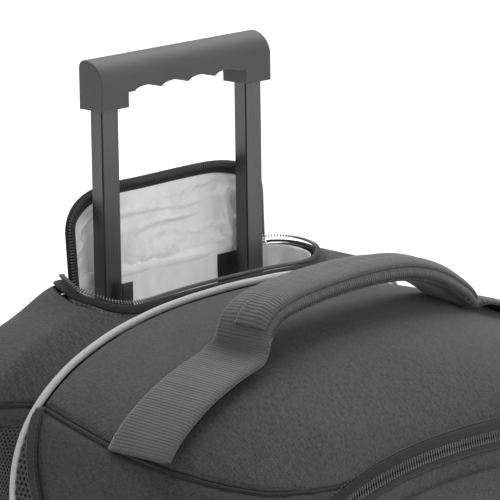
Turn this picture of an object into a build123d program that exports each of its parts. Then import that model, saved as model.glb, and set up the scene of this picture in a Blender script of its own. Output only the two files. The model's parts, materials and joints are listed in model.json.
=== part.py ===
"""Wheeled bag for two bowling balls, with a telescopic handle stowed in a zipped top pocket.

Frame: millimetres, +X to the bag's right, -Y to its front, +Z up.
The origin is on the floor, under the middle of the whole bag.
At rest the handle is part extended and the flap of its pocket stands open.
"""
import os
from math import sqrt

from build123d import *

os.makedirs("parts", exist_ok=True)

# ---------------------------------------------------------------- driving dimensions
HALF_WIDTH = 226.0        # soft body, at the sides
TOP_Z = 560.0             # crown of the soft body
FRONT_Y = -154.0          # flat front face
BACK_Y = 150.0            # flat back face
BOTTOM_Z = 25.0           # underside of the base tray
WALL = 4.0                # padded fabric
TRAY_TOP_Z = 70.0
CROWN_HEIGHT = 98.0       # from the crown down to where the sides are upright
REAR_TOP_Z = 568.0        # crown behind the piping, where the back board holds the bag square
REAR_ARCH = 70.0
DOOR_PLANE_Y = -149.5     # main zipper, where the door meets the body
SEAM_Z = 500.0            # shoulder seam at the piping
SEAM_SLOPE = 10.8         # degrees that the seam falls towards the front
PIPING_Y = 72.0
PIPING_D = 5.0

TUBE_X = 75.0             # each side of the middle
TUBE_Y = 126.0
TUBE_WALL = 1.2
INNER_TUBE = (17.4, 12.4)
MID_TUBE = (22.4, 17.4)
OUTER_TUBE = (27.4, 22.4)
SLIDE_GAP = 0.3           # between a bush or collar and the tube that slides in it
OUTER_TUBE_Z = (95.0, 500.0)
MID_TUBE_Z = (110.0, 507.0)
INNER_TUBE_Z = (300.0, 707.0)

GRIP_LENGTH = 177.0
GRIP_DEPTH = 24.0
GRIP_BOTTOM_Z = 699.0
GRIP_HEIGHT = 36.0
SOCKET_HEIGHT = 11.0
SOCKET_WIDTH = 27.0

OPENING_HALF = 125.0      # handle pocket, widest
OPENING_HINGE_HALF = 112.0
OPENING_Y = (81.0, 139.0)
POCKET_FLOOR_Z = 500.0
FLAP_TOP_Z = 637.0
FLAP_Y = 140.5
FLAP_T = 1.6

STRAP_Y = -45.0
STRAP_WIDTH = 56.0
STRAP_T = 2.6
STRAP_FOLD_X = 112.0
STRAP_END_X = 205.0
ARCH_WIDTH = 40.0
ARCH_T = 7.0
ARCH_TOP_Z = 599.0
ARCH_FOOT_Z = 550.0

WHEEL_R = 55.0
WHEEL_WIDTH = 26.0
WHEEL_X = 196.0
WHEEL_Y = 106.0
RIM_R = 44.0
AXLE_R = 5.0
BEARING_R = 11.0
HOUSING_R = 63.0
HOUSING_T = 3.0
HOUSING_X = 168.0         # inner face of the wheel well

FOOT_X = 150.0
FOOT_Y = -105.0
FOOT_SIZE = (44.0, 26.0)
FOOT_PEG_R = 3.0

BALL_R = 108.0
BALL_X = 109.0
BALL_Y = -40.0
CRADLE_TOP_Z = 59.0

# Sections of the soft body: (y, half width, crown, height of the arch).
BODY_SECTIONS = [
    (BACK_Y, HALF_WIDTH - 9, REAR_TOP_Z - 8, REAR_ARCH - 4),
    (BACK_Y - 4, HALF_WIDTH - 3, REAR_TOP_Z - 2.5, REAR_ARCH - 1),
    (BACK_Y - 12, HALF_WIDTH, REAR_TOP_Z, REAR_ARCH),
    (PIPING_Y + 25, HALF_WIDTH, REAR_TOP_Z, REAR_ARCH + 2),
    (PIPING_Y, HALF_WIDTH, TOP_Z + 1, CROWN_HEIGHT),
    (0.0, HALF_WIDTH, TOP_Z, CROWN_HEIGHT + 3),
    (-50.0, HALF_WIDTH - 1, TOP_Z - 6, CROWN_HEIGHT + 8),
    (-90.0, HALF_WIDTH - 4, TOP_Z - 20, CROWN_HEIGHT + 14),
    (-120.0, HALF_WIDTH - 10, TOP_Z - 40, CROWN_HEIGHT + 16),
    (-140.0, HALF_WIDTH - 20, TOP_Z - 63, CROWN_HEIGHT + 14),
    (DOOR_PLANE_Y, HALF_WIDTH - 30, TOP_Z - 84, CROWN_HEIGHT + 8),
    (FRONT_Y, HALF_WIDTH - 40, TOP_Z - 102, CROWN_HEIGHT),
]


def save(piece, name):
    """Label a finished part and write its file."""
    piece.label = name
    export_step(piece, f"parts/{name}.step")


def rear_z(x):
    """Height of the soft body's outside round the handle pocket."""
    return REAR_TOP_Z - REAR_ARCH + REAR_ARCH * sqrt(1 - (x / HALF_WIDTH) ** 2)


def hull(inset):
    """Closed form of the soft body, shrunk by inset all round."""
    with BuildPart() as form:
        for y, half, crown, arch in BODY_SECTIONS:
            at = min(max(y, FRONT_Y + inset), BACK_Y - inset)
            spring = crown - arch
            with BuildSketch(Plane.XZ.offset(-at)):
                with BuildLine():
                    EllipticalCenterArc((0, spring), half - inset, arch - inset, arc_size=180)
                    Polyline(
                        (half - inset, spring),
                        (half - inset, BOTTOM_Z + inset),
                        (inset - half, BOTTOM_Z + inset),
                        (inset - half, spring),
                    )
                make_face()
        loft(ruled=True)
    return form.part


def plan(inset):
    """Outline of the soft body seen from above, at its upright sides, shrunk by inset."""
    right = [(half - inset, y) for y, half, _, _ in BODY_SECTIONS[1:-1]]
    right.insert(0, (BODY_SECTIONS[0][1] - inset, BACK_Y - inset))
    right.append((BODY_SECTIONS[-1][1] - inset, FRONT_Y + inset))
    return right + [(-x, y) for x, y in reversed(right)]


def block(x, y, z):
    """Plain box between limits, used to cut regions out of the soft body."""
    with BuildPart() as solid:
        with BuildSketch(Plane.XY.offset(z[0])):
            with Locations(((x[0] + x[1]) / 2, (y[0] + y[1]) / 2)):
                Rectangle(x[1] - x[0], y[1] - y[0])
        extrude(amount=z[1] - z[0])
    return solid.part


def above_seam():
    """Everything above the shoulder seams, which fall towards the front."""
    fall = Plane((0, PIPING_Y, SEAM_Z), x_dir=(1, 0, 0), z_dir=(0, 0, 1)).rotated((SEAM_SLOPE, 0, 0))
    with BuildPart() as region:
        with BuildSketch(fall):
            with Locations((0, -120)):
                Rectangle(500, 360)
        extrude(amount=200)
        with BuildSketch(Plane.XY.offset(SEAM_Z)):
            with Locations((0, PIPING_Y + 50)):
                Rectangle(500, 100)
        extrude(amount=200)
    return region.part


def wheel_well(side, grow):
    """Space that a wheel housing takes out of the soft body."""
    start = side * (HOUSING_X - grow)
    with BuildPart() as well:
        with BuildSketch(Plane.YZ.offset(start)):
            with Locations((WHEEL_Y, WHEEL_R)):
                Circle(HOUSING_R + grow)
            with Locations((WHEEL_Y, WHEEL_R / 2)):
                Rectangle(2 * (HOUSING_R + grow), WHEEL_R)
        extrude(amount=side * 80)
    return well.part


OUTSIDE = hull(0)
INSIDE = hull(WALL)
OVER_SEAM = above_seam()
WELLS = [wheel_well(-1, 0.4), wheel_well(1, 0.4)]

# ---------------------------------------------------------------- soft body and base
SHELL = OUTSIDE - INSIDE - WELLS[0] - WELLS[1]

with BuildPart() as base_tray:
    with BuildSketch(Plane.XY.offset(BOTTOM_Z)):
        Polygon(*plan(0), align=None)
    extrude(amount=TRAY_TOP_Z - BOTTOM_Z)
    with BuildSketch(Plane.XY.offset(BOTTOM_Z + WALL)):
        Polygon(*plan(WALL), align=None)
    extrude(amount=TRAY_TOP_Z - BOTTOM_Z, mode=Mode.SUBTRACT)
    for well in WELLS:
        add(well, mode=Mode.SUBTRACT)
    with BuildSketch(Plane.XY.offset(BOTTOM_Z)):
        with Locations((-FOOT_X, FOOT_Y), (FOOT_X, FOOT_Y)):
            Circle(FOOT_PEG_R + 0.2)
    extrude(amount=WALL, mode=Mode.SUBTRACT)
save(base_tray.part, "base_tray")

with BuildPart() as back_panel:
    add(SHELL)
    add(block((-300, 300), (138.2, 300), (TRAY_TOP_Z + 0.2, SEAM_Z - 0.2)), mode=Mode.INTERSECT)
save(back_panel.part, "back_panel")

for side, name in ((-1, "left"), (1, "right")):
    reach = sorted((side * 100, side * 300))
    with BuildPart() as side_panel:
        add(SHELL)
        add(
            block(reach, (DOOR_PLANE_Y, 138.0), (TRAY_TOP_Z + 0.2, 600)),
            mode=Mode.INTERSECT,
        )
        add(OVER_SEAM, mode=Mode.SUBTRACT)
    save(side_panel.part, f"side_panel_{name}")

with BuildPart() as top_panel:
    add(SHELL)
    add(block((-300, 300), (DOOR_PLANE_Y, PIPING_Y), (430, 600)), mode=Mode.INTERSECT)
    add(OVER_SEAM, mode=Mode.INTERSECT)
save(top_panel.part, "top_panel")


def opening_outline(grow):
    """Outline of the handle pocket's opening, seen from above, grown by grow."""
    front = OPENING_Y[0] - grow
    back = OPENING_Y[1] + min(grow, 0.0)
    half = OPENING_HALF + grow
    with BuildSketch(Plane.XY.offset(440)) as outline:
        with BuildLine():
            Line((-OPENING_HINGE_HALF, back), (OPENING_HINGE_HALF, back))
            Spline(
                (OPENING_HINGE_HALF, back),
                (half, OPENING_Y[1] - 30),
                (OPENING_HINGE_HALF - 22, front),
                tangents=((1, -0.4), (-1, -0.1)),
            )
            Line((OPENING_HINGE_HALF - 22, front), (22 - OPENING_HINGE_HALF, front))
            Spline(
                (22 - OPENING_HINGE_HALF, front),
                (-half, OPENING_Y[1] - 30),
                (-OPENING_HINGE_HALF, back),
                tangents=((-1, 0.1), (1, 0.4)),
            )
        make_face()
    return outline.sketch


with BuildPart() as rear_top_panel:
    add(SHELL)
    add(block((-300, 300), (PIPING_Y + 0.2, 300), (SEAM_Z, 600)), mode=Mode.INTERSECT)
    extrude(opening_outline(0), amount=200, mode=Mode.SUBTRACT)
save(rear_top_panel.part, "rear_top_panel")

with BuildPart() as front_door:
    add(OUTSIDE)
    add(
        block((-300, 300), (-200, DOOR_PLANE_Y - 0.3), (TRAY_TOP_Z + 5, 600)),
        mode=Mode.INTERSECT,
    )
save(front_door.part, "front_door")

# ---------------------------------------------------------------- trim on the soft body


def skin(inner, outer):
    """Layer over the outside of the soft body, between two offsets."""
    return hull(-outer) - hull(-inner) - WELLS[0] - WELLS[1]


THIN_SKIN = skin(0.1, 1.3)

with BuildPart() as piping:
    add(skin(0.1, PIPING_D - 0.5))
    add(
        block((-300, 300), (PIPING_Y - PIPING_D / 2, PIPING_Y + PIPING_D / 2), (TRAY_TOP_Z + 4, 600)),
        mode=Mode.INTERSECT,
    )
    add(block((-300, 300), (0, 200), (TRAY_TOP_Z - 50, 130)), mode=Mode.SUBTRACT)
save(piping.part, "piping")

for side, name in ((-1, "left"), (1, "right")):
    reach = sorted((side * 180, side * 300))
    with BuildPart() as mesh_pocket:
        add(THIN_SKIN)
        add(block(reach, (76.0, 137.0), (135, SEAM_Z - 4)), mode=Mode.INTERSECT)
    save(mesh_pocket.part, f"mesh_pocket_{name}")

with BuildPart() as main_zipper_body_tape:
    add(THIN_SKIN)
    add(block((-300, 300), (DOOR_PLANE_Y, DOOR_PLANE_Y + 8), (90, 600)), mode=Mode.INTERSECT)
save(main_zipper_body_tape.part, "main_zipper_body_tape")

DOOR_RING = 12.0
with BuildPart() as main_zipper_door_tape:
    add(THIN_SKIN)
    add(block((-300, 300), (-200, DOOR_PLANE_Y - 0.3), (90, 600)), mode=Mode.INTERSECT)
    with BuildSketch(Plane.XZ.offset(-DOOR_PLANE_Y - 20)):
        with BuildLine():
            inner_half = HALF_WIDTH - 40 - DOOR_RING
            inner_arch = CROWN_HEIGHT - DOOR_RING
            door_spring = TOP_Z - 102 - CROWN_HEIGHT
            EllipticalCenterArc((0, door_spring), inner_half, inner_arch, arc_size=180)
            Polyline(
                (inner_half, door_spring),
                (inner_half, 60),
                (-inner_half, 60),
                (-inner_half, door_spring),
            )
        make_face()
    extrude(amount=60, mode=Mode.SUBTRACT)
save(main_zipper_door_tape.part, "main_zipper_door_tape")

with BuildPart() as pocket_zipper_tape:
    add(THIN_SKIN)
    extrude(opening_outline(6), amount=200, mode=Mode.INTERSECT)
    extrude(opening_outline(0), amount=200, mode=Mode.SUBTRACT)
    add(block((-300, 300), (60, OPENING_Y[1] - 6), (440, 640)), mode=Mode.INTERSECT)
save(pocket_zipper_tape.part, "pocket_zipper_tape")

# ---------------------------------------------------------------- carry handle
with BuildPart() as carry_handle:
    arch_path_top = ARCH_TOP_Z - ARCH_T / 2
    with BuildSketch(Plane.XZ.offset(-STRAP_Y - ARCH_WIDTH / 2)):
        with BuildLine():
            right_rise = Line((STRAP_FOLD_X, ARCH_FOOT_Z), (STRAP_FOLD_X - 6, ARCH_FOOT_Z + 22))
            left_rise = Line((-STRAP_FOLD_X, ARCH_FOOT_Z), (6 - STRAP_FOLD_X, ARCH_FOOT_Z + 22))
            over = ThreePointArc(
                (62, arch_path_top - 2.5),
                (0, arch_path_top),
                (-62, arch_path_top - 2.5),
            )
            Spline(right_rise @ 1, over @ 0, tangents=(right_rise % 1, over % 0))
            Spline(over @ 1, left_rise @ 1, tangents=(over % 1, -(left_rise % 1)))
        trace(line_width=ARCH_T)
    extrude(amount=ARCH_WIDTH)
    add(hull(-0.4), mode=Mode.SUBTRACT)
save(carry_handle.part, "carry_handle")

STRAP_SKIN = skin(0.2, 0.2 + STRAP_T)
for side, name in ((-1, "left"), (1, "right")):
    reach = sorted((side * (STRAP_FOLD_X + ARCH_T / 2 + 0.6), side * STRAP_END_X))
    with BuildPart() as strap_patch:
        add(STRAP_SKIN)
        add(
            block(reach, (STRAP_Y - STRAP_WIDTH / 2, STRAP_Y + STRAP_WIDTH / 2), (440, 640)),
            mode=Mode.INTERSECT,
        )
    save(strap_patch.part, f"strap_patch_{name}")

# ---------------------------------------------------------------- handle pocket
LINER_HALF = 116.0
LINER_Y = (84.0, 142.4)
LINER_T = 1.6
COLLAR_SLEEVE = 3.0       # a collar's sleeve is this much larger than its tube
COLLAR_HOLE = 3.6         # the hole in the liner round that sleeve
COLLAR_FLANGE = 5.6       # the collar's flange, above the liner
FLANGE_LIFT = 1.8
with BuildPart() as handle_pocket_liner:
    add(block((-LINER_HALF, LINER_HALF), LINER_Y, (POCKET_FLOOR_Z, rear_z(LINER_HALF) - WALL - 5)))
    add(
        block(
            (LINER_T - LINER_HALF, LINER_HALF - LINER_T),
            (LINER_Y[0] + LINER_T, LINER_Y[1] - LINER_T),
            (POCKET_FLOOR_Z + LINER_T, 600),
        ),
        mode=Mode.SUBTRACT,
    )
    with BuildSketch(Plane.XY.offset(POCKET_FLOOR_Z - 1)):
        with Locations((-TUBE_X, TUBE_Y), (TUBE_X, TUBE_Y)):
            Rectangle(OUTER_TUBE[0] + COLLAR_HOLE, OUTER_TUBE[1] + COLLAR_HOLE)
    extrude(amount=5, mode=Mode.SUBTRACT)
save(handle_pocket_liner.part, "handle_pocket_liner")

FLAP_HALF = 108.0
FLAP_CORNER = 30.0
FLAP_TAPE = 6.0


def flap_outline(inset):
    """Face of the standing flap: straight on top, its foot following the crown of the bag."""
    half = FLAP_HALF - inset
    top = FLAP_TOP_Z - inset
    foot = rear_z(half) + 1.8
    corner = FLAP_CORNER - inset
    with BuildSketch(Plane.XZ.offset(-FLAP_Y)) as outline:
        with BuildLine():
            ThreePointArc((-half, foot), (0, REAR_TOP_Z + 1.8), (half, foot))
            Line((half, foot), (half, top - corner))
            RadiusArc((half, top - corner), (half - corner, top), -corner)
            Line((half - corner, top), (corner - half, top))
            RadiusArc((corner - half, top), (-half, top - corner), -corner)
            Line((-half, top - corner), (-half, foot))
        make_face()
    return outline.sketch


with BuildPart() as pocket_flap:
    extrude(flap_outline(FLAP_TAPE), amount=FLAP_T)
save(pocket_flap.part, "pocket_flap")

with BuildPart() as flap_zipper_tape:
    extrude(flap_outline(0), amount=FLAP_T)
    add(pocket_flap.part, mode=Mode.SUBTRACT)
    add(
        block((FLAP_TAPE - FLAP_HALF, FLAP_HALF - FLAP_TAPE), (130, 150), (540, 606)),
        mode=Mode.SUBTRACT,
    )
save(flap_zipper_tape.part, "flap_zipper_tape")

# ---------------------------------------------------------------- zipper sliders and pullers


def slider_body(width, length, height):
    """Slider that lies on its tape: a plate with a bail bridge over its middle."""
    with BuildPart() as slider:
        with BuildSketch(Plane.XY):
            RectangleRounded(length, width, width * 0.35)
        extrude(amount=height * 0.45)
        with BuildSketch(Plane.XZ.offset(-1.1)):
            with BuildLine():
                ThreePointArc((-4.6, height * 0.4), (0, height), (4.6, height * 0.4))
                Line((4.6, height * 0.4), (-4.6, height * 0.4))
            make_face()
        extrude(amount=2.2)
        with BuildSketch(Plane.XZ.offset(-1.2)):
            with Locations((0, 3.3)):
                RectangleRounded(5.4, 1.62, 0.6)
        extrude(amount=2.4, mode=Mode.SUBTRACT)
    return slider.part


def puller_body(length, width):
    """Pull tab, lying along +X, with a ring at the origin that goes round the bail."""
    with BuildPart() as puller:
        with BuildSketch(Plane.XY.offset(-0.55)):
            with Locations((length * 0.6, 0)):
                RectangleRounded(length * 0.8, width, width * 0.4)
            with Locations((3.9, 0)):
                RectangleRounded(8.8, 5.6, 1.6)
            with Locations((3.6, 0)):
                RectangleRounded(6.2, 3.4, 0.6, mode=Mode.SUBTRACT)
        extrude(amount=1.1)
    return puller.part


POCKET_SLIDER_AT = (-119.0, 126.0)
SLIDER_TILT = 20.0        # degrees that the zipper falls at the slider
slider_z = rear_z(POCKET_SLIDER_AT[0]) + 6.0
slider_plane = Plane(
    (POCKET_SLIDER_AT[0], POCKET_SLIDER_AT[1], slider_z),
    x_dir=(-1, 0, 0),
    z_dir=(0, 0, 1),
).rotated((0, -SLIDER_TILT, 0))
with BuildPart() as pocket_zipper_slider:
    add(slider_body(8.0, 11.0, 5.5).moved(slider_plane.location))
save(pocket_zipper_slider.part, "pocket_zipper_slider")

with BuildPart() as pocket_zipper_puller:
    add(puller_body(32.0, 7.0).moved(slider_plane.location * Pos(0, 0, 3.3)))
save(pocket_zipper_puller.part, "pocket_zipper_puller")

# On the slanting front corner of the right side, beside the foot of the door.
main_slider_plane = Plane(
    (HALF_WIDTH - 25, DOOR_PLANE_Y + 4.75, 132),
    x_dir=(0, 0, -1),
    z_dir=(0.689, -0.725, 0),
).offset(1.5)
with BuildPart() as main_zipper_slider:
    add(slider_body(8.0, 11.0, 5.5).moved(main_slider_plane.location))
save(main_zipper_slider.part, "main_zipper_slider")

with BuildPart() as main_zipper_puller:
    add(puller_body(30.0, 7.0).moved(main_slider_plane.location * Pos(0, 0, 3.3)))
save(main_zipper_puller.part, "main_zipper_puller")

# ---------------------------------------------------------------- telescopic handle


def tube(size, wall, z, notch):
    """Rectangular tube standing at the origin, with a small groove along each corner."""
    with BuildPart() as profile:
        with BuildSketch(Plane.XY.offset(z[0])):
            Rectangle(size[0], size[1])
            Rectangle(size[0] - 2 * wall, size[1] - 2 * wall, mode=Mode.SUBTRACT)
            with GridLocations(size[0] - 0.8, size[1] - 0.8, 2, 2):
                Rectangle(notch, notch, mode=Mode.SUBTRACT)
        extrude(amount=z[1] - z[0])
    return profile.part


def ring(outer, inner, z):
    """Rectangular ring standing at the origin."""
    with BuildPart() as loop:
        with BuildSketch(Plane.XY.offset(z[0])):
            RectangleRounded(outer[0], outer[1], 1.5)
            Rectangle(inner[0], inner[1], mode=Mode.SUBTRACT)
        extrude(amount=z[1] - z[0])
    return loop.part


def grown(size, amount):
    """A section with amount added to its width and depth."""
    return (size[0] + amount, size[1] + amount)


MID_BORE = grown(MID_TUBE, 2 * SLIDE_GAP)
INNER_BORE = grown(INNER_TUBE, 2 * SLIDE_GAP)
OUTER_CAVITY = grown(OUTER_TUBE, -2 * TUBE_WALL)
MID_CAVITY = grown(MID_TUBE, -2 * TUBE_WALL)

for side, name in ((-1, "left"), (1, "right")):
    place = Location((side * TUBE_X, TUBE_Y, 0))
    top = OUTER_TUBE_Z[1]
    with BuildPart() as outer_tube:
        add(tube(OUTER_TUBE, TUBE_WALL, OUTER_TUBE_Z, 1.0).moved(place))
    save(outer_tube.part, f"outer_tube_{name}")

    with BuildPart() as outer_collar:
        add(ring(grown(OUTER_TUBE, COLLAR_SLEEVE), OUTER_TUBE, (top - 20, top)).moved(place))
        add(ring(grown(OUTER_TUBE, COLLAR_SLEEVE), MID_BORE, (top, top + FLANGE_LIFT)).moved(place))
        add(ring(grown(OUTER_TUBE, COLLAR_FLANGE), MID_BORE, (top + FLANGE_LIFT, top + 5.0)).moved(place))
    save(outer_collar.part, f"outer_collar_{name}")

    with BuildPart() as mid_tube:
        add(tube(MID_TUBE, TUBE_WALL, MID_TUBE_Z, 1.0).moved(place))
    save(mid_tube.part, f"mid_tube_{name}")

    with BuildPart() as mid_collar:
        add(ring(grown(MID_TUBE, 2.6), MID_TUBE, (top + 5.4, MID_TUBE_Z[1])).moved(place))
        add(ring(grown(MID_TUBE, 2.6), INNER_BORE, (MID_TUBE_Z[1], top + 10)).moved(place))
    save(mid_collar.part, f"mid_collar_{name}")

    low = MID_TUBE_Z[0]
    with BuildPart() as mid_bush:
        add(ring(grown(OUTER_CAVITY, -2 * SLIDE_GAP), MID_TUBE, (low, low + 16)).moved(place))
        add(ring(grown(OUTER_CAVITY, -2 * SLIDE_GAP), MID_CAVITY, (low - 4, low)).moved(place))
    save(mid_bush.part, f"mid_bush_{name}")

    low = INNER_TUBE_Z[0]
    with BuildPart() as inner_tube:
        add(tube(INNER_TUBE, 1.1, INNER_TUBE_Z, 1.1).moved(place))
    save(inner_tube.part, f"inner_tube_{name}")

    with BuildPart() as inner_bush:
        add(ring(grown(MID_CAVITY, -2 * SLIDE_GAP), INNER_TUBE, (low, low + 14)).moved(place))
        add(ring(grown(MID_CAVITY, -2 * SLIDE_GAP), (12.0, 7.0), (low - 4, low)).moved(place))
    save(inner_bush.part, f"inner_bush_{name}")

BRACKET_Y = (112.0, 142.6)
SCREW_X = (-100.0, -35.0, 35.0, 100.0)
with BuildPart() as tube_foot_bracket:
    add(block((-112, 112), (138.6, BRACKET_Y[1]), (78, 120)))
    add(block((-112, 112), (BRACKET_Y[0], BRACKET_Y[1]), (82, OUTER_TUBE_Z[0])))
    with BuildSketch(Plane.XZ.offset(-BRACKET_Y[1] - 1)):
        with Locations(*[(x, 108) for x in SCREW_X]):
            Circle(2.1)
    extrude(amount=30, mode=Mode.SUBTRACT)
save(tube_foot_bracket.part, "tube_foot_bracket")

with BuildPart() as bracket_screws:
    with BuildSketch(Plane.XZ.offset(-138.6)):
        with Locations(*[(x, 108) for x in SCREW_X]):
            Circle(4.0)
    extrude(amount=2.4)
    with BuildSketch(Plane.XZ.offset(-145.0)):
        with Locations(*[(x, 108) for x in SCREW_X]):
            Circle(2.0)
    extrude(amount=6.4)
save(bracket_screws.part, "bracket_screws")

with BuildPart() as back_board:
    add(block((-196, 196), (142.8, 145.8), (TRAY_TOP_Z + 2, 494)))
    for well in WELLS:
        add(well, mode=Mode.SUBTRACT)
    with BuildSketch(Plane.XZ.offset(-145.9)):
        with Locations(*[(x, 108) for x in SCREW_X]):
            Circle(2.1)
    extrude(amount=4, mode=Mode.SUBTRACT)
save(back_board.part, "back_board")

with BuildPart() as grip:
    grip_back = TUBE_Y + GRIP_DEPTH / 2
    grip_front = TUBE_Y - GRIP_DEPTH / 2
    grip_top = GRIP_BOTTOM_Z + GRIP_HEIGHT
    with BuildSketch(Plane.YZ.offset(-GRIP_LENGTH / 2)):
        with BuildLine():
            Polyline(
                (grip_front, grip_top - 17),
                (grip_front, GRIP_BOTTOM_Z),
                (grip_back, GRIP_BOTTOM_Z),
                (grip_back, grip_top - 6),
            )
            RadiusArc((grip_back, grip_top - 6), (grip_back - 6, grip_top), -6)
            EllipticalCenterArc(
                (grip_back - 6, grip_top - 17),
                GRIP_DEPTH - 6,
                17,
                start_angle=90,
                arc_size=90,
            )
        make_face()
    extrude(amount=GRIP_LENGTH)
    inner_half = GRIP_LENGTH / 2 - SOCKET_WIDTH
    palm_z = GRIP_BOTTOM_Z + SOCKET_HEIGHT
    with BuildSketch(Plane.XZ.offset(-grip_back - 1)):
        with Locations((0, GRIP_BOTTOM_Z + SOCKET_HEIGHT / 2 - 1)):
            Rectangle(2 * inner_half, SOCKET_HEIGHT + 2)
        with Locations(*[(x, palm_z) for x in (-42, -14, 14, 42)]):
            Ellipse(12.5, 3.0)
    extrude(amount=GRIP_DEPTH + 2, mode=Mode.SUBTRACT)
    with BuildSketch(Plane.XY.offset(GRIP_BOTTOM_Z)):
        with Locations((-TUBE_X, TUBE_Y), (TUBE_X, TUBE_Y)):
            Rectangle(INNER_TUBE[0], INNER_TUBE[1])
    extrude(amount=INNER_TUBE_Z[1] - GRIP_BOTTOM_Z, mode=Mode.SUBTRACT)
    fillet(grip.edges().filter_by(Axis.Z).group_by(SortBy.LENGTH)[-1], radius=1.2)
save(grip.part, "grip")

# ---------------------------------------------------------------- inside of the bag
with BuildPart() as rear_liner_board:
    add(block((-200, 200), (108.0, 110.5), (TRAY_TOP_Z + 2, 486)))
    for well in WELLS:
        add(well, mode=Mode.SUBTRACT)
save(rear_liner_board.part, "rear_liner_board")

with BuildPart() as ball_cradle:
    add(block((-190, 190), (-135, 30), (BOTTOM_Z + WALL + 0.2, CRADLE_TOP_Z)))
    with Locations((-BALL_X, BALL_Y, 41 + BALL_R + 1), (BALL_X, BALL_Y, 41 + BALL_R + 1)):
        Sphere(BALL_R + 1, mode=Mode.SUBTRACT)
save(ball_cradle.part, "ball_cradle")

with BuildPart() as ball_divider:
    add(block((-5, 5), (-140, 107.5), (CRADLE_TOP_Z + 0.2, 330)))
save(ball_divider.part, "ball_divider")

# ---------------------------------------------------------------- wheels and feet
for side, name in ((-1, "left"), (1, "right")):
    inner_face = side * HOUSING_X
    with BuildPart() as wheel_housing:
        with BuildSketch(Plane.YZ.offset(inner_face)):
            with Locations((WHEEL_Y, WHEEL_R)):
                Circle(HOUSING_R)
            with Locations((WHEEL_Y, (WHEEL_R + BOTTOM_Z) / 2)):
                Rectangle(2 * HOUSING_R, WHEEL_R - BOTTOM_Z)
            with Locations((WHEEL_Y, BOTTOM_Z - 100)):
                Rectangle(300, 200, mode=Mode.SUBTRACT)
            with Locations((BACK_Y - 0.2 + 100, 100)):
                Rectangle(200, 300, mode=Mode.SUBTRACT)
        extrude(amount=side * (HALF_WIDTH - 2 - HOUSING_X))
        with BuildSketch(Plane.YZ.offset(inner_face + side * HOUSING_T)):
            with Locations((WHEEL_Y, WHEEL_R)):
                Circle(HOUSING_R - HOUSING_T)
            with Locations((WHEEL_Y, 0)):
                Rectangle(2 * (HOUSING_R - HOUSING_T), 2 * WHEEL_R)
            with Locations((WHEEL_Y + 100, WHEEL_R - 100)):
                Rectangle(200, 200)
        extrude(amount=side * 100, mode=Mode.SUBTRACT)
        with BuildSketch(Plane.YZ.offset(inner_face)):
            with Locations((WHEEL_Y, WHEEL_R)):
                Circle(10)
        extrude(amount=side * (WHEEL_X - WHEEL_WIDTH / 2 - HOUSING_X - 1.0))
        with BuildSketch(Plane.YZ.offset(inner_face)):
            with Locations((WHEEL_Y, WHEEL_R)):
                Circle(AXLE_R)
        extrude(amount=side * 60, mode=Mode.SUBTRACT)
    save(wheel_housing.part, f"wheel_housing_{name}")

    axle_axis = Plane.YZ.offset(side * WHEEL_X)
    with BuildPart() as wheel_rim:
        with BuildSketch(axle_axis):
            with Locations((WHEEL_Y, WHEEL_R)):
                Circle(RIM_R)
                Circle(BEARING_R, mode=Mode.SUBTRACT)
        extrude(amount=WHEEL_WIDTH / 2 - 1, both=True)
        for face_side in (-1, 1):
            with BuildSketch(Plane.YZ.offset(side * WHEEL_X + face_side * 5)):
                with Locations((WHEEL_Y, WHEEL_R)):
                    Circle(RIM_R - 5)
                    Circle(BEARING_R + 5, mode=Mode.SUBTRACT)
            extrude(amount=face_side * 20, mode=Mode.SUBTRACT)
        with BuildSketch(axle_axis):
            with Locations((WHEEL_Y, WHEEL_R)):
                with PolarLocations(27, 6):
                    Circle(6)
        extrude(amount=20, both=True, mode=Mode.SUBTRACT)
    save(wheel_rim.part, f"wheel_rim_{name}")

    with BuildPart() as wheel_tyre:
        with BuildSketch(axle_axis):
            with Locations((WHEEL_Y, WHEEL_R)):
                Circle(WHEEL_R)
                Circle(RIM_R, mode=Mode.SUBTRACT)
        extrude(amount=WHEEL_WIDTH / 2, both=True)
        fillet(wheel_tyre.edges().filter_by(GeomType.CIRCLE).group_by(SortBy.RADIUS)[-1], radius=4)
    save(wheel_tyre.part, f"wheel_tyre_{name}")

    with BuildPart() as wheel_bearings:
        for offset_x in (-8.5, 8.5):
            with BuildSketch(Plane.YZ.offset(side * WHEEL_X + offset_x)):
                with Locations((WHEEL_Y, WHEEL_R)):
                    Circle(BEARING_R)
                    Circle(AXLE_R + 0.05, mode=Mode.SUBTRACT)
            extrude(amount=3.5, both=True)
    save(wheel_bearings.part, f"wheel_bearings_{name}")

    with BuildPart() as axle_bolt:
        with BuildSketch(Plane.YZ.offset(side * (HOUSING_X - 0.2))):
            with Locations((WHEEL_Y, WHEEL_R)):
                Circle(AXLE_R)
        extrude(amount=side * 41.7)
        with BuildSketch(Plane.YZ.offset(side * (WHEEL_X + WHEEL_WIDTH / 2 + 0.5))):
            with Locations((WHEEL_Y, WHEEL_R)):
                Circle(8.5)
        extrude(amount=side * 3)
        with BuildSketch(Plane.YZ.offset(side * (HOUSING_X - 0.2))):
            with Locations((WHEEL_Y, WHEEL_R)):
                RegularPolygon(8.5, 6)
        extrude(amount=-side * 5)
    save(axle_bolt.part, f"axle_bolt_{name}")

    with BuildPart() as front_foot:
        with BuildSketch(Plane.XY):
            with Locations((side * FOOT_X, FOOT_Y)):
                RectangleRounded(FOOT_SIZE[0], FOOT_SIZE[1], 6)
        extrude(amount=BOTTOM_Z, taper=6)
        with BuildSketch(Plane.XY.offset(BOTTOM_Z)):
            with Locations((side * FOOT_X, FOOT_Y)):
                Circle(FOOT_PEG_R)
        extrude(amount=WALL - 1)
    save(front_foot.part, f"front_foot_{name}")
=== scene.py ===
"""Looks of a wheeled bag for two bowling balls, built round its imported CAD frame. Metres."""
import json
import math

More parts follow.
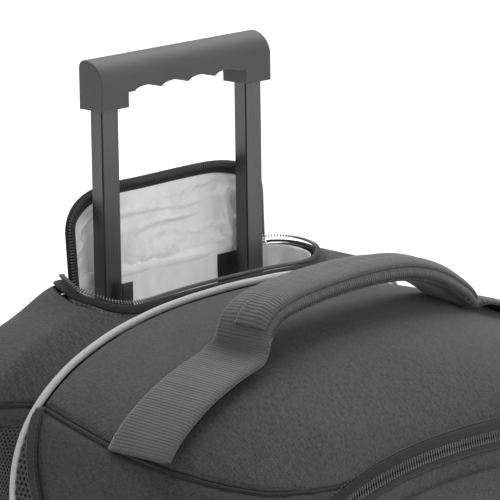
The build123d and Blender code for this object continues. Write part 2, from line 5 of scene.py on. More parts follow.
import bpy
import numpy as np
from mathutils import Matrix, Vector


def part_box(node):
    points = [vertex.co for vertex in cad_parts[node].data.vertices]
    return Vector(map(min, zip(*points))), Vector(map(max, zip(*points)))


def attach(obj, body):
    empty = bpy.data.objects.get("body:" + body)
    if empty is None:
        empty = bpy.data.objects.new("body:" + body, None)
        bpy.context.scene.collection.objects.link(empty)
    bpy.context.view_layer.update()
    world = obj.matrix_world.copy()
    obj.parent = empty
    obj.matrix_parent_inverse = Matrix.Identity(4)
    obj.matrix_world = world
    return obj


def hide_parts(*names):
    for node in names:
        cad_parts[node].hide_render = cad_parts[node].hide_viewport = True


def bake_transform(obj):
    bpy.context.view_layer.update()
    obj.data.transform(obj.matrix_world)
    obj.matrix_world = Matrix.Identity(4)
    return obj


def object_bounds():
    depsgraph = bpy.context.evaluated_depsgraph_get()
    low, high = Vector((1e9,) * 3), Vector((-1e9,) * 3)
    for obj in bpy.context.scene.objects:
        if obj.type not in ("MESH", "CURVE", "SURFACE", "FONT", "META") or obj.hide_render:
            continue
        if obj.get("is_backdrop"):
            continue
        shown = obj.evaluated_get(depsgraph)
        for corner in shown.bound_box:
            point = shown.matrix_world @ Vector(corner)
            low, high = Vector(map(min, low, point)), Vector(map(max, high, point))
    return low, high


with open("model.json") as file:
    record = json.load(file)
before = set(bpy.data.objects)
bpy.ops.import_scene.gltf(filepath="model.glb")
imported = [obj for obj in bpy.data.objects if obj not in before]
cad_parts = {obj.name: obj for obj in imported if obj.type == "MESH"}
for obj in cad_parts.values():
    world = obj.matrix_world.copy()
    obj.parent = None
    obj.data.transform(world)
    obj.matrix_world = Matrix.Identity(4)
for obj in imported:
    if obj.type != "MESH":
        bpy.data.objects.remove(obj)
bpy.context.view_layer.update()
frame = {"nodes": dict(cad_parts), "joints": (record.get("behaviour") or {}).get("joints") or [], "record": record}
MM = 0.001

# ---------------------------------------------------------------- shape of the soft body
HALF = 0.2245             # half width
TOP = 0.5610              # crown
REAR_RISE = 0.007         # how much the crown rises behind the piping
ARCH = 0.115              # crown to where the sides are upright
SQUARENESS = 2.4          # exponent of the superellipse over the top
REAR_SQUARENESS = 3.3
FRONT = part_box("front_door")[0].y
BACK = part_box("back_panel")[1].y
DOOR_PLANE = FRONT + 4.5 * MM
PIPING_Y = 0.0705
SEAM_Z = 0.5115
SEAM_FALL = 0.16
TRAY_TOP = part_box("base_tray")[1].z
TUBE_X = 0.075
TUBE_Y = 0.126


def round_off(t, power=2.3):
    """0 to 1, starting level and ending steep, like a quarter of a superellipse."""
    t = np.clip(t, 0.0, 1.0)
    return 1 - (1 - t**power) ** (1 / power)


def half_width(y):
    """Half width of the body at y."""
    front = round_off((-0.045 - y) / (-0.045 - FRONT), 2.2)
    back = round_off((y - BACK + 0.014) / 0.014, 2.0)
    return HALF - 0.041 * front - 0.009 * back


def rear(y):
    """0 up to the piping, 1 where the back board holds the top square."""
    t = np.clip((y - PIPING_Y) / 0.030, 0.0, 1.0)
    return t * t * (3 - 2 * t)


def crown(y):
    """Height of the middle of the top at y."""
    front = round_off(-y / 0.1515)
    back = round_off((y - BACK + 0.014) / 0.014, 2.0)
    return TOP - 0.102 * front - 0.010 * back + REAR_RISE * rear(y)


def squareness(y):
    """Exponent of the superellipse over the top at y."""
    return SQUARENESS + (REAR_SQUARENESS - SQUARENESS) * rear(y)


def arch_height(y):
    """How far the upright sides start below the crown at y."""
    t = np.clip(-y / -FRONT, 0.0, 1.0)
    return ARCH + 0.016 * np.sin(math.pi * t**1.5) - 0.010 * t**4


def section(y, count=240):
    """Outline of the body at y, from the left foot over the crown to the right foot, in X and Z."""
    half, top, arch, power = half_width(y), crown(y), arch_height(y), 2 / squareness(y)
    turn = np.linspace(-math.pi / 2, math.pi / 2, count)
    x = half * np.sign(np.sin(turn)) * np.abs(np.sin(turn)) ** power
    z = top - arch + arch * np.abs(np.cos(turn)) ** power
    low = np.linspace(TRAY_TOP - 0.03, top - arch, 60)[:-1]
    xs = np.concatenate([np.full(59, -half), x, np.full(59, half)])
    zs = np.concatenate([low, z, low[::-1]])
    return xs, zs


def top_z(x, y):
    """Height of the top surface over x, y."""
    half, arch, power = half_width(y), arch_height(y), squareness(y)
    t = np.clip(np.abs(x) / half, 0.0, 1.0)
    return crown(y) - arch + arch * (1 - t**power) ** (1 / power)


def seam_z(y):
    """Height of the shoulder seams at y."""
    return SEAM_Z - SEAM_FALL * np.clip(PIPING_Y - y, 0.0, None)


def along(xs, zs, start, end, count):
    """Points evenly spaced along a polyline between two arc lengths."""
    steps = np.hypot(np.diff(xs), np.diff(zs))
    length = np.concatenate([[0.0], np.cumsum(steps)])
    at = np.linspace(start, end, count)
    return np.interp(at, length, xs), np.interp(at, length, zs), at


def arc_at_height(xs, zs, z, side):
    """Arc length where the section crosses height z, on the left (-1) or the right (1)."""
    steps = np.hypot(np.diff(xs), np.diff(zs))
    length = np.concatenate([[0.0], np.cumsum(steps)])
    middle = int(np.argmax(zs))
    if side < 0:
        return np.interp(z, zs[: middle + 1], length[: middle + 1])
    return np.interp(z, zs[middle:][::-1], length[middle:][::-1])


# ---------------------------------------------------------------- mesh helpers
def link(name, mesh, material):
    """New object for a mesh, with its material and smooth shading."""
    piece = bpy.data.objects.new(name, mesh)
    bpy.context.scene.collection.objects.link(piece)
    if material is not None:
        mesh.materials.append(material)
    mesh.polygons.foreach_set("use_smooth", [True] * len(mesh.polygons))
    mesh.update()
    return piece


def piece_from(name, verts, faces, material, uvs=None):
    """Object from vertices and faces, with one UV pair for each vertex if given."""
    mesh = bpy.data.meshes.new(name)
    mesh.from_pydata([tuple(v) for v in verts], [], [tuple(f) for f in faces])
    if uvs is not None:
        layer = mesh.uv_layers.new(name="UVMap")
        corner = np.zeros(len(mesh.loops), np.int32)
        mesh.loops.foreach_get("vertex_index", corner)
        layer.data.foreach_set("uv", np.asarray(uvs, float)[corner].ravel())
    return link(name, mesh, material)


def grid_faces(rows, columns, wrap=False):
    """Quads of a grid whose vertices run along each row in turn."""
    r = np.arange(rows - 1)[:, None]
    c = np.arange(columns if wrap else columns - 1)[None, :]
    n = (c + 1) % columns
    quads = np.stack([r * columns + c, r * columns + n, (r + 1) * columns + n, (r + 1) * columns + c], -1)
    return quads.reshape(-1, 4)


def grid_uv(points):
    """UV in metres over a grid of points, from its own arc lengths."""
    across = np.linalg.norm(np.diff(points, axis=1), axis=2)
    down = np.linalg.norm(np.diff(points, axis=0), axis=2)
    u = np.concatenate([np.zeros((points.shape[0], 1)), np.cumsum(across, 1)], 1)
    v = np.concatenate([np.zeros((1, points.shape[1])), np.cumsum(down, 0)], 0)
    u -= u[:, [points.shape[1] // 2]]
    return np.stack([u, v], -1).reshape(-1, 2)


def grid_piece(name, points, material, thickness=0.0, wrap=False):
    """Sheet over a grid of points, made a shell that grows inward by thickness."""
    points = np.asarray(points, float)
    rows, columns = points.shape[:2]
    faces = grid_faces(rows, columns, wrap)
    piece = piece_from(name, points.reshape(-1, 3), faces, material, grid_uv(points))
    if thickness:
        thicken(piece, thickness)
    return piece


def thicken(piece, thickness):
    """Shell that grows against the face normals."""
    shell = piece.modifiers.new("shell", "SOLIDIFY")
    shell.thickness = thickness
    shell.offset = -1.0


def tube_mesh(name, centre, across, up, profile, material, closed=False, caps=True):
    """Sweep a profile (rows of across, up) along a path with given side and up directions."""
    centre, across, up = (np.asarray(a, float) for a in (centre, across, up))
    profile = np.asarray(profile, float)
    if profile.ndim == 2:
        profile = np.broadcast_to(profile, (len(centre), *profile.shape))
    points = (
        centre[:, None, :]
        + across[:, None, :] * profile[:, :, :1]
        + up[:, None, :] * profile[:, :, 1:]
    )
    rows, columns = points.shape[:2]
    faces = [tuple(f) for f in grid_faces(rows, columns, wrap=True)]
    if closed:
        last = (rows - 1) * columns
        faces += [
            (last + c, last + (c + 1) % columns, (c + 1) % columns, c) for c in range(columns)
        ]
    elif caps:
        faces.append(tuple(range(columns))[::-1])
        faces.append(tuple(range((rows - 1) * columns, rows * columns)))
    uv = grid_uv(points)
    return piece_from(name, points.reshape(-1, 3), faces, material, uv)


def directions(path, up_hint):
    """Side and up directions along a path, up as near to up_hint as it can be."""
    path = np.asarray(path, float)
    tangent = np.gradient(path, axis=0)
    tangent /= np.linalg.norm(tangent, axis=1, keepdims=True)
    up_hint = np.broadcast_to(np.asarray(up_hint, float), path.shape)
    side = np.cross(tangent, up_hint)
    side /= np.linalg.norm(side, axis=1, keepdims=True)
    up = np.cross(side, tangent)
    return tangent, side, up


def resample(path, step):
    """The same path with points evenly spaced, about step apart."""
    path = np.asarray(path, float)
    length = np.concatenate([[0.0], np.cumsum(np.linalg.norm(np.diff(path, axis=0), axis=1))])
    at = np.linspace(0, length[-1], max(3, int(round(length[-1] / step)) + 1))
    return np.stack([np.interp(at, length, path[:, k]) for k in range(3)], 1)


def smooth_path(points, step=0.002):
    """Smooth curve through given points, evenly resampled."""
    p = np.asarray(points, float)
    ext = np.vstack([2 * p[0] - p[1], p, 2 * p[-1] - p[-2]])
    out = []
    for i in range(1, len(ext) - 2):
        t = np.linspace(0, 1, 24, endpoint=False)[:, None]
        a, b, c, d = ext[i - 1], ext[i], ext[i + 1], ext[i + 2]
        out.append(
            0.5
            * (2 * b + (c - a) * t + (2 * a - 5 * b + 4 * c - d) * t**2 + (3 * b - a - 3 * c + d) * t**3)
        )
    out.append(p[-1:])
    return resample(np.vstack(out), step)


def circle_profile(radius, count=10, flat=1.0):
    """Closed round profile, squashed in height by flat."""
    a = np.linspace(0, 2 * math.pi, count, endpoint=False)
    return np.stack([radius * np.cos(a), radius * flat * np.sin(a)], 1)


def ribbon_profile(width, thickness, edge=3):
    """Closed flat profile with rounded edges."""
    t = thickness / 2
    right = [
        (width / 2 - t + t * math.cos(a), t * math.sin(a))
        for a in np.linspace(-math.pi / 2, math.pi / 2, edge + 1)
    ]
    flats = [(x, t) for x in np.linspace(width / 2 - t, t - width / 2, 9)[1:-1]]
    left = [(-x, -z) for x, z in right]
    return right + flats + left + [(-x, -z) for x, z in flats]


# ---------------------------------------------------------------- materials
class Look:
    """Builds a procedural material round a Principled BSDF."""

    def __init__(self, name, coords="Object"):
        self.material = bpy.data.materials.new(name)
        self.material.use_nodes = True
        self.tree = self.material.node_tree
        self.shader = self.tree.nodes["Principled BSDF"]
        self.at = self.node("ShaderNodeTexCoord").outputs[coords]

    def node(self, kind, inputs=None, **settings):
        made = self.tree.nodes.new(kind)
        for key, value in settings.items():
            setattr(made, key, value)
        for key, value in (inputs or {}).items():
            if isinstance(value, bpy.types.NodeSocket):
                self.tree.links.new(value, made.inputs[key])
            else:
                made.inputs[key].default_value = value
        return made

    def noise(self, scale, stretch=(1, 1, 1), detail=2.0, shift=0.0):
        placed = self.node("ShaderNodeMapping", {0: self.at, 1: (shift, shift, shift), 3: stretch})
        return self.node(
            "ShaderNodeTexNoise", {"Vector": placed.outputs[0], "Scale": scale, "Detail": detail}
        ).outputs[0]

    def math(self, operation, a, b=0.0):
        return self.node("ShaderNodeMath", {0: a, 1: b}, operation=operation).outputs[0]

    def mix(self, parts):
        """Weighted sum of values."""
        total = None
        for value, weight in parts:
            term = self.math("MULTIPLY", value, weight)
            total = term if total is None else self.math("ADD", total, term)
        return total

    def weave(self, across, along):
        """Plain weave: height of crossing threads at these spacings."""
        parts = self.node("ShaderNodeSeparateXYZ", {0: self.at})
        u = self.math("SINE", self.math("MULTIPLY", parts.outputs[0], 2 * math.pi / across))
        v = self.math("SINE", self.math("MULTIPLY", parts.outputs[1], 2 * math.pi / along))
        return self.math("MULTIPLY", u, v)

    def span(self, value, low, high, start=0.0, end=1.0):
        return self.node("ShaderNodeMapRange", {0: value, 1: start, 2: end, 3: low, 4: high}).outputs[0]

    def colour(self, value, stops):
        ramp = self.node("ShaderNodeValToRGB", {0: value})
        while len(ramp.color_ramp.elements) < len(stops):
            ramp.color_ramp.elements.new(0.5)
        for element, (place, tone) in zip(ramp.color_ramp.elements, stops):
            element.position = place
            element.color = (*tone, 1.0)
        self.tree.links.new(ramp.outputs[0], self.shader.inputs["Base Color"])

    def rough(self, value, low, high):
        self.tree.links.new(self.span(value, low, high), self.shader.inputs["Roughness"])

    def bump(self, height, distance, strength=1.0):
        made = self.node("ShaderNodeBump", {"Height": height, "Distance": distance, "Strength": strength})
        self.tree.links.new(made.outputs[0], self.shader.inputs["Normal"])

    def set(self, **values):
        for key, value in values.items():
            self.shader.inputs[key.replace("_", " ")].default_value = value
        return self.material


def grey(value, warm=0.0):
    """Near-neutral colour."""
    return (value * (1 + warm), value, value * (1 - warm))


def cloth_look(name, dark, light, thread, sheen=0.15, low=0.82, high=0.96, fleck=1.0, lift=0.00022):
    """Woven fabric with heathered threads, on UVs in metres."""
    look = Look(name, "UV")
    weft = look.noise(1.0, (260, 1500, 1), 3.0)
    warp = look.noise(1.0, (1500, 260, 1), 3.0, 7.3)
    broad = look.noise(9.0, detail=3.0)
    threads = look.mix([(weft, 0.5), (warp, 0.5)])
    tone = look.mix([(threads, 1.0), (broad, 0.22)])
    middle = 0.61
    reach = 0.16 / fleck
    look.colour(tone, [(middle - reach, dark), (middle + reach, light)])
    look.rough(tone, low, high)
    look.bump(look.mix([(look.weave(thread, thread), 0.35), (threads, 1.0)]), lift, 0.8)
    return look.set(Sheen_Weight=sheen, Sheen_Roughness=0.5, Specular_IOR_Level=0.25)


def plastic_look(name, dark, light, grain, low, high, lift=0.00008, level=0.45):
    """Moulded plastic or rubber with a fine grain and slight handling wear."""
    look = Look(name)
    fine = look.noise(grain, detail=3.0)
    broad = look.noise(14.0, detail=4.0, shift=3.1)
    tone = look.mix([(fine, 0.45), (broad, 0.55)])
    look.colour(tone, [(0.36, dark), (0.64, light)])
    look.rough(tone, low, high)
    look.bump(fine, lift, 0.7)
    return look.set(Specular_IOR_Level=level)


body_cloth = cloth_look("body_cloth", grey(0.020), grey(0.066), 0.0011, fleck=1.15)
# same fabric as body_cloth, made darker as painted shade for the side and back panels
side_cloth_painted_shade = cloth_look("side_cloth_painted_shade", grey(0.016), grey(0.052), 0.0011, fleck=1.15)
inner_cloth = cloth_look("inner_cloth", grey(0.035), grey(0.055), 0.0008, sheen=0.1)
tape_cloth = cloth_look("tape_cloth", grey(0.006), grey(0.014), 0.0010, low=0.7, high=0.9)
binding_cloth = cloth_look("binding_cloth", grey(0.009), grey(0.020), 0.0012, low=0.6, high=0.85)
piping_cloth = cloth_look("piping_cloth", grey(0.37), grey(0.47), 0.0009, low=0.6, high=0.8, lift=0.0001)
mesh_cloth = cloth_look("mesh_cloth", grey(0.022), grey(0.05), 0.0006, low=0.6, high=0.8)


def webbing_look():
    """Ribbed webbing whose colour is painted lighter on the rib crests as painted highlight and darker between
    them as painted shade.
    """
    look = Look("webbing_look", "UV")
    yarn = look.noise(1.0, (2600, 420, 1), 3.0)
    strand = look.weave(0.0016, 0.0011)
    broad = look.noise(18.0, detail=2.0, shift=1.7)
    # painted highlight on the rib crests and painted shade between them, read from the stored rib height
    rib_light_shade = look.node("ShaderNodeAttribute", attribute_name="rib").outputs["Fac"]
    tone = look.mix([(yarn, 0.30), (broad, 0.15), (rib_light_shade, 0.55)])
    look.colour(tone, [(0.34, grey(0.004)), (0.58, grey(0.026)), (0.80, grey(0.078))])
    look.rough(tone, 0.5, 0.75)
    look.bump(look.mix([(strand, 0.3), (yarn, 0.7)]), 0.0002, 0.9)
    return look.set(Sheen_Weight=0.25, Sheen_Roughness=0.4, Specular_IOR_Level=0.4)


def satin_look():
    """Thin pale lining with a soft sheen and fine creases, its colour painted lighter on the crease crests and
    darker in their hollows as painted shade.
    """
    look = Look("satin_look", "UV")
    crease_light_shade = look.noise(70.0, (1.0, 0.45, 1.0), 4.0)
    thread = look.noise(1.0, (2200, 500, 1), 2.0, 2.2)
    broad = look.noise(16.0, detail=3.0, shift=5.0)
    # colour follows the creases: painted highlight on their crests and painted shade in their hollows
    tone = look.mix([(crease_light_shade, 0.45), (broad, 0.4), (thread, 0.15)])
    look.colour(tone, [(0.34, grey(0.76)), (0.66, grey(0.93))])
    look.rough(tone, 0.34, 0.5)
    look.bump(look.mix([(crease_light_shade, 0.8), (thread, 0.06)]), 0.0016, 0.55)
    return look.set(Sheen_Weight=0.3, Sheen_Roughness=0.3, Specular_IOR_Level=0.6)


def metal_look(name, dark, light, stretch, low, high, lift):
    """Brushed or anodised metal."""
    look = Look(name)
    lines = look.noise(1.0, stretch, 3.0)
    broad = look.noise(9.0, detail=3.0, shift=4.0)
    tone = look.mix([(lines, 0.6), (broad, 0.4)])
    look.colour(tone, [(0.35, dark), (0.65, light)])
    look.rough(tone, low, high)
    look.bump(lines, lift, 0.5)
    return look.set(Metallic=1.0)


def thread_look(name, tone):
    """Sewing thread with a fine twist."""
    look = Look(name)
    twist = look.noise(2600.0, detail=1.0)
    look.colour(twist, [(0.35, grey(tone * 0.75)), (0.65, grey(tone * 1.2))])
    look.rough(twist, 0.55, 0.75)
    look.bump(twist, 0.00008, 0.6)
    return look.set(Sheen_Weight=0.2)


webbing = webbing_look()
satin = satin_look()
tube_metal = metal_look("tube_metal", grey(0.085), grey(0.125), (1700, 1700, 9), 0.36, 0.5, 0.00003)
steel = metal_look("steel", grey(0.45), grey(0.6), (900, 900, 900), 0.3, 0.45, 0.00003)
dark_metal = metal_look("dark_metal", grey(0.03), grey(0.05), (700, 700, 700), 0.3, 0.42, 0.00002)
grip_plastic = plastic_look("grip_plastic", grey(0.048), grey(0.070), 1900.0, 0.5, 0.66)
black_plastic = plastic_look("black_plastic", grey(0.014), grey(0.026), 1500.0, 0.45, 0.62)
base_plastic = plastic_look("base_plastic", grey(0.018), grey(0.034), 900.0, 0.5, 0.7, 0.0002)
wheel_plastic = plastic_look("wheel_plastic", grey(0.045), grey(0.07), 1100.0, 0.32, 0.5)
tyre_rubber = plastic_look("tyre_rubber", grey(0.012), grey(0.024), 700.0, 0.68, 0.86, 0.00015, 0.3)
foot_rubber = plastic_look("foot_rubber", grey(0.010), grey(0.020), 800.0, 0.7, 0.88, 0.00015, 0.3)
foam_skin = plastic_look("foam_skin", grey(0.05), grey(0.085), 650.0, 0.85, 0.97, 0.0004, 0.2)
# black nylon whose base colour is raised above the tape's as a painted glint
tooth_nylon_painted_glint = plastic_look("tooth_nylon_painted_glint", grey(0.05), grey(0.10), 1500.0, 0.18, 0.3, 0.00002, 0.6)
board_skin = plastic_look("board_skin", grey(0.045), grey(0.07), 1200.0, 0.75, 0.9, 0.00015, 0.25)
dark_thread = thread_look("dark_thread", 0.030)
pale_thread = thread_look("pale_thread", 0.30)


# ---------------------------------------------------------------- sewing
def stitches(name, path, up, body, thread=None, length=0.0023, gap=0.0011, radius=0.00034, sink=0.0001):
    """Row of stitches that lies on a path, each a small capsule."""
    path = resample(path, 0.0004)
    up = np.asarray(up, float)
    total = np.linalg.norm(np.diff(path, axis=0), axis=1).sum()
    count = max(1, int(total / (length + gap)))
    at = (np.arange(count) + 0.5) / count * total
    steps = np.concatenate([[0.0], np.cumsum(np.linalg.norm(np.diff(path, axis=0), axis=1))])
    centre = np.stack([np.interp(at, steps, path[:, k]) for k in range(3)], 1)
    ahead = np.stack([np.interp(at + 0.0006, steps, path[:, k]) for k in range(3)], 1)
    behind = np.stack([np.interp(at - 0.0006, steps, path[:, k]) for k in range(3)], 1)
    tangent = ahead - behind
    tangent /= np.linalg.norm(tangent, axis=1, keepdims=True)
    if up.ndim == 2:
        ups = np.stack([np.interp(at, np.linspace(0, total, len(up)), up[:, k]) for k in range(3)], 1)
    else:
        ups = np.broadcast_to(up, centre.shape)
    side = np.cross(tangent, ups)
    side /= np.linalg.norm(side, axis=1, keepdims=True)
    ups = np.cross(side, tangent)
    stations = np.array([-0.5, -0.36, 0.0, 0.36, 0.5]) * length
    girth = np.array([0.25, 0.85, 1.0, 0.85, 0.25]) * radius
    lift = np.array([-0.6, 0.25, 0.7, 0.25, -0.6]) * radius - sink
    turns = np.linspace(0, 2 * math.pi, 6, endpoint=False)
    verts = (
        centre[:, None, None, :]
        + tangent[:, None, None, :] * stations[None, :, None, None]
        + ups[:, None, None, :] * (lift[:, None] + girth[:, None] * np.sin(turns))[None, :, :, None]
        + side[:, None, None, :] * (girth[:, None] * np.cos(turns))[None, :, :, None]
    )
    faces = [tuple(f) for f in grid_faces(5, 6, wrap=True)]
    faces += [tuple(range(6))[::-1], tuple(range(24, 30))]
    flat = verts.reshape(-1, 3)
    everything = [tuple(i * 30 + v for v in f) for i in range(count) for f in faces]
    piece = piece_from(name, flat, everything, thread or dark_thread)
    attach(piece, body)
    return piece


def surface_point(x, y, lift=0.0):
    """Point over the top surface, lifted along its normal."""
    x, y = np.broadcast_arrays(np.asarray(x, float), np.asarray(y, float))
    e = 0.0008
    z = top_z(x, y)
    dx = (top_z(x + e, y) - top_z(x - e, y)) / (2 * e)
    dy = (top_z(x, y + e) - top_z(x, y - e)) / (2 * e)
    normal = np.stack([-dx, -dy, np.ones_like(z)], -1)
    normal /= np.linalg.norm(normal, axis=-1, keepdims=True)
    return np.stack([x, y, z], -1) + normal * lift, normal


def outline_path(y, lift, z_low=None, count=900):
    """Path round the section at y, lifted outward, with its outward normals."""
    xs, zs = section(y)
    total = np.hypot(np.diff(xs), np.diff(zs)).sum()
    low = z_low if z_low is not None else TRAY_TOP
    start, end = arc_at_height(xs, zs, low, -1), arc_at_height(xs, zs, low, 1)
    x, z, _ = along(xs, zs, max(start, 0.0), min(end, total), count)
    tx, tz = np.gradient(x), np.gradient(z)
    size = np.hypot(tx, tz)
    normal = np.stack([-tz / size, np.zeros(count), tx / size], 1)
    return np.stack([x, np.full(count, y), z], 1) + normal * lift, normal


# ---------------------------------------------------------------- cloth simulation
def inflate(piece, pinned, pressure, frames, stretch=0.0, stiffness=12.0, cap=0.010):
    """Puff a sheet between its pinned vertices, then keep the result in its mesh."""
    mesh = piece.data
    count = len(mesh.vertices)
    start = np.zeros(count * 3)
    mesh.vertices.foreach_get("co", start)
    group = piece.vertex_groups.new(name="pinned")
    for index, weight in enumerate(np.clip(pinned, 0.0, 1.0)):
        if weight > 0.0:
            group.add([index], float(weight), "REPLACE")
    cloth = piece.modifiers.new("sewn", "CLOTH")
    cloth.settings.vertex_group_mass = "pinned"
    cloth.settings.pin_stiffness = 2.0
    cloth.settings.quality = 5
    cloth.settings.mass = 0.25
    cloth.settings.air_damping = 4.0
    cloth.settings.tension_stiffness = stiffness
    cloth.settings.compression_stiffness = stiffness
    cloth.settings.shear_stiffness = stiffness * 0.5
    cloth.settings.bending_stiffness = 0.3
    cloth.settings.use_pressure = True
    cloth.settings.uniform_pressure_force = pressure
    cloth.settings.shrink_min = -stretch
    cloth.settings.effector_weights.gravity = 0.0
    cloth.point_cache.frame_start = 1
    cloth.point_cache.frame_end = frames
    scene = bpy.context.scene
    for frame_number in range(1, frames + 1):
        scene.frame_set(frame_number)
    depsgraph = bpy.context.evaluated_depsgraph_get()
    result = np.zeros(count * 3)
    piece.evaluated_get(depsgraph).data.vertices.foreach_get("co", result)
    piece.modifiers.remove(cloth)
    piece.vertex_groups.remove(group)
    scene.frame_set(1)
    move = (result - start).reshape(-1, 3)
    size = np.linalg.norm(move, axis=1, keepdims=True)
    move *= cap * np.tanh(size / cap) / np.maximum(size, 1e-9)
    mesh.vertices.foreach_set("co", (start.reshape(-1, 3) + move).ravel())
    mesh.update()
    return piece


def relief(points, period, height, seed):
    """Gentle uneven swelling over a grid, the same on every run."""
    rng = np.random.default_rng(seed)
    total = np.zeros(points.shape[:-1])
    for _ in range(10):
        direction = rng.normal(size=3)
        direction /= np.linalg.norm(direction)
        phase = rng.uniform(0, 2 * math.pi)
        scale = period * rng.uniform(0.6, 1.5)
        total += np.sin(points @ direction * (2 * math.pi / scale) + phase)
    return total * (height / 4.5)


def edge_fall(distance, width=0.007, depth=0.0024):
    """How far a panel dips where it is sewn, by its distance from the seam."""
    t = np.clip(1 - distance / width, 0.0, 1.0)
    return -depth * t**2.2


# ---------------------------------------------------------------- the body as a map of (s, y)
YS = np.linspace(FRONT, BACK, 500)
S_REACH = 0.70
S_COUNT = 1401
SX = np.zeros((len(YS), S_COUNT))
SZ = np.zeros((len(YS), S_COUNT))
for row, row_y in enumerate(YS):
    row_x, row_z = section(row_y, 400)
    arc = np.concatenate([[0.0], np.cumsum(np.hypot(np.diff(row_x), np.diff(row_z)))])
    arc -= np.interp(0.0, row_x[55:-55], arc[55:-55])
    wanted = np.linspace(-S_REACH, S_REACH, S_COUNT)
    SX[row] = np.interp(wanted, arc, row_x)
    SZ[row] = np.interp(wanted, arc, row_z)


def pocket_lift(x, y):
    """How far the fabric round the handle pocket is pulled up at the ends of its zipper."""
    left = np.exp(-(((x + 0.116) / 0.026) ** 2) - ((y - 0.128) / 0.026) ** 2)
    right = np.exp(-(((x - 0.116) / 0.030) ** 2) - ((y - 0.125) / 0.022) ** 2)
    return 0.0115 * left + 0.003 * right


def body_point(s, y):
    """Point of the body at arc length s from the middle of the top, at y."""
    s, y = np.broadcast_arrays(np.asarray(s, float), np.asarray(y, float))
    a = np.clip((s + S_REACH) / (2 * S_REACH) * (S_COUNT - 1), 0, S_COUNT - 1.001)
    b = np.clip((y - YS[0]) / (YS[-1] - YS[0]) * (len(YS) - 1), 0, len(YS) - 1.001)
    i, j = b.astype(int), a.astype(int)
    fy, fs = b - i, a - j
    x, z = (
        (t[i, j] * (1 - fs) + t[i, j + 1] * fs) * (1 - fy)
        + (t[i + 1, j] * (1 - fs) + t[i + 1, j + 1] * fs) * fy
        for t in (SX, SZ)
    )
    return np.stack([x, y, z + pocket_lift(x, y)], -1)


def body_frame(s, y, lift=0.0):
    """Point lifted off the body with its normal, direction across (+s) and direction back (+y)."""
    e = 0.0012
    s, y = np.broadcast_arrays(np.asarray(s, float), np.asarray(y, float))
    across = body_point(s + e, y) - body_point(s - e, y)
    back = body_point(s, np.minimum(y + e, BACK)) - body_point(s, np.maximum(y - e, FRONT))
    across /= np.linalg.norm(across, axis=-1, keepdims=True)
    back /= np.linalg.norm(back, axis=-1, keepdims=True)
    normal = np.cross(across, back)
    normal /= np.linalg.norm(normal, axis=-1, keepdims=True)
    return body_point(s, y) + normal * np.asarray(lift)[..., None], normal, across, back


def s_at_height(y, z, side):
    """Arc length from the middle at which the section at y comes down to height z."""
    out = np.zeros(len(y))
    for k, (at_y, at_z) in enumerate(zip(y, np.broadcast_to(z, len(y)))):
        row = int(round((at_y - YS[0]) / (YS[-1] - YS[0]) * (len(YS) - 1)))
        half = S_COUNT // 2
        if side > 0:
            out[k] = np.interp(-at_z, -SZ[row, half:], np.linspace(0, S_REACH, S_COUNT - half))
        else:
            out[k] = -np.interp(-at_z, -SZ[row, half::-1], np.linspace(0, S_REACH, half + 1))
    return out


def s_at_x(x, y):
    """Arc length from the middle at which the body at y has this x, over the top."""
    x, y = np.broadcast_arrays(np.asarray(x, float), np.asarray(y, float))
    rows = np.clip(((y - YS[0]) / (YS[-1] - YS[0]) * (len(YS) - 1)).round().astype(int), 0, len(YS) - 1)
    flat = [
        np.interp(a, SX[r, 200:-200], np.linspace(-S_REACH, S_REACH, S_COUNT)[200:-200])
        for a, r in zip(x.ravel(), rows.ravel())
    ]
    return np.array(flat).reshape(x.shape)


def spaced_ys(start, end, step):
    """Values of y evenly spaced along the middle of the top."""
    fine = np.linspace(start, end, 800)
    high = crown(fine)
    length = np.concatenate([[0.0], np.cumsum(np.hypot(np.diff(fine), np.diff(high)))])
    return np.interp(np.linspace(0, length[-1], int(length[-1] / step) + 1), length, fine)


def seam_distance(points):
    """Distance of each grid point from the nearest of the grid's four edges, along the grid."""
    across = np.linalg.norm(np.diff(points, axis=1), axis=2)
    down = np.linalg.norm(np.diff(points, axis=0), axis=2)
    left = np.concatenate([np.zeros((points.shape[0], 1)), np.cumsum(across, 1)], 1)
    front = np.concatenate([np.zeros((1, points.shape[1])), np.cumsum(down, 0)], 0)
    return np.minimum.reduce([left, left[:, -1:] - left, front, front[-1:] - front])


def sewn_panel(name, s, y, material, body, seed, swell=0.0008, pressure=1.2, thickness=0.003, cap=0.005):
    """Padded panel over the body on a grid of (s, y), dipping where it is sewn."""
    points, normal, _, _ = body_frame(s, y)
    distance = seam_distance(points)
    inside = np.clip(distance / 0.03, 0, 1)
    offset = edge_fall(distance) + relief(points, 0.085, swell, seed) * inside
    points = points + normal * offset[..., None]
    piece = grid_piece(name, points, material)
    if pressure:
        inflate(piece, (1 - np.clip(distance.ravel() / 0.012, 0, 1)) ** 0.5, pressure, 14, cap=cap)
    shell = piece.modifiers.new("shell", "SOLIDIFY")
    shell.thickness = thickness
    shell.offset = -1.0
    shell.material_offset = 1
    piece.data.materials.append(inner_cloth)
    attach(piece, body)
    return piece


def strip(name, path, across, up, offsets, lifts, material, body, thickness=0.0):
    """Flat ribbon laid along a path: columns at these offsets across it and lifts above it."""
    points = np.stack([path + across * o + up * h for o, h in zip(offsets, lifts)], 1)
    piece = grid_piece(name, points, material, thickness)
    if body:
        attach(piece, body)
    return piece


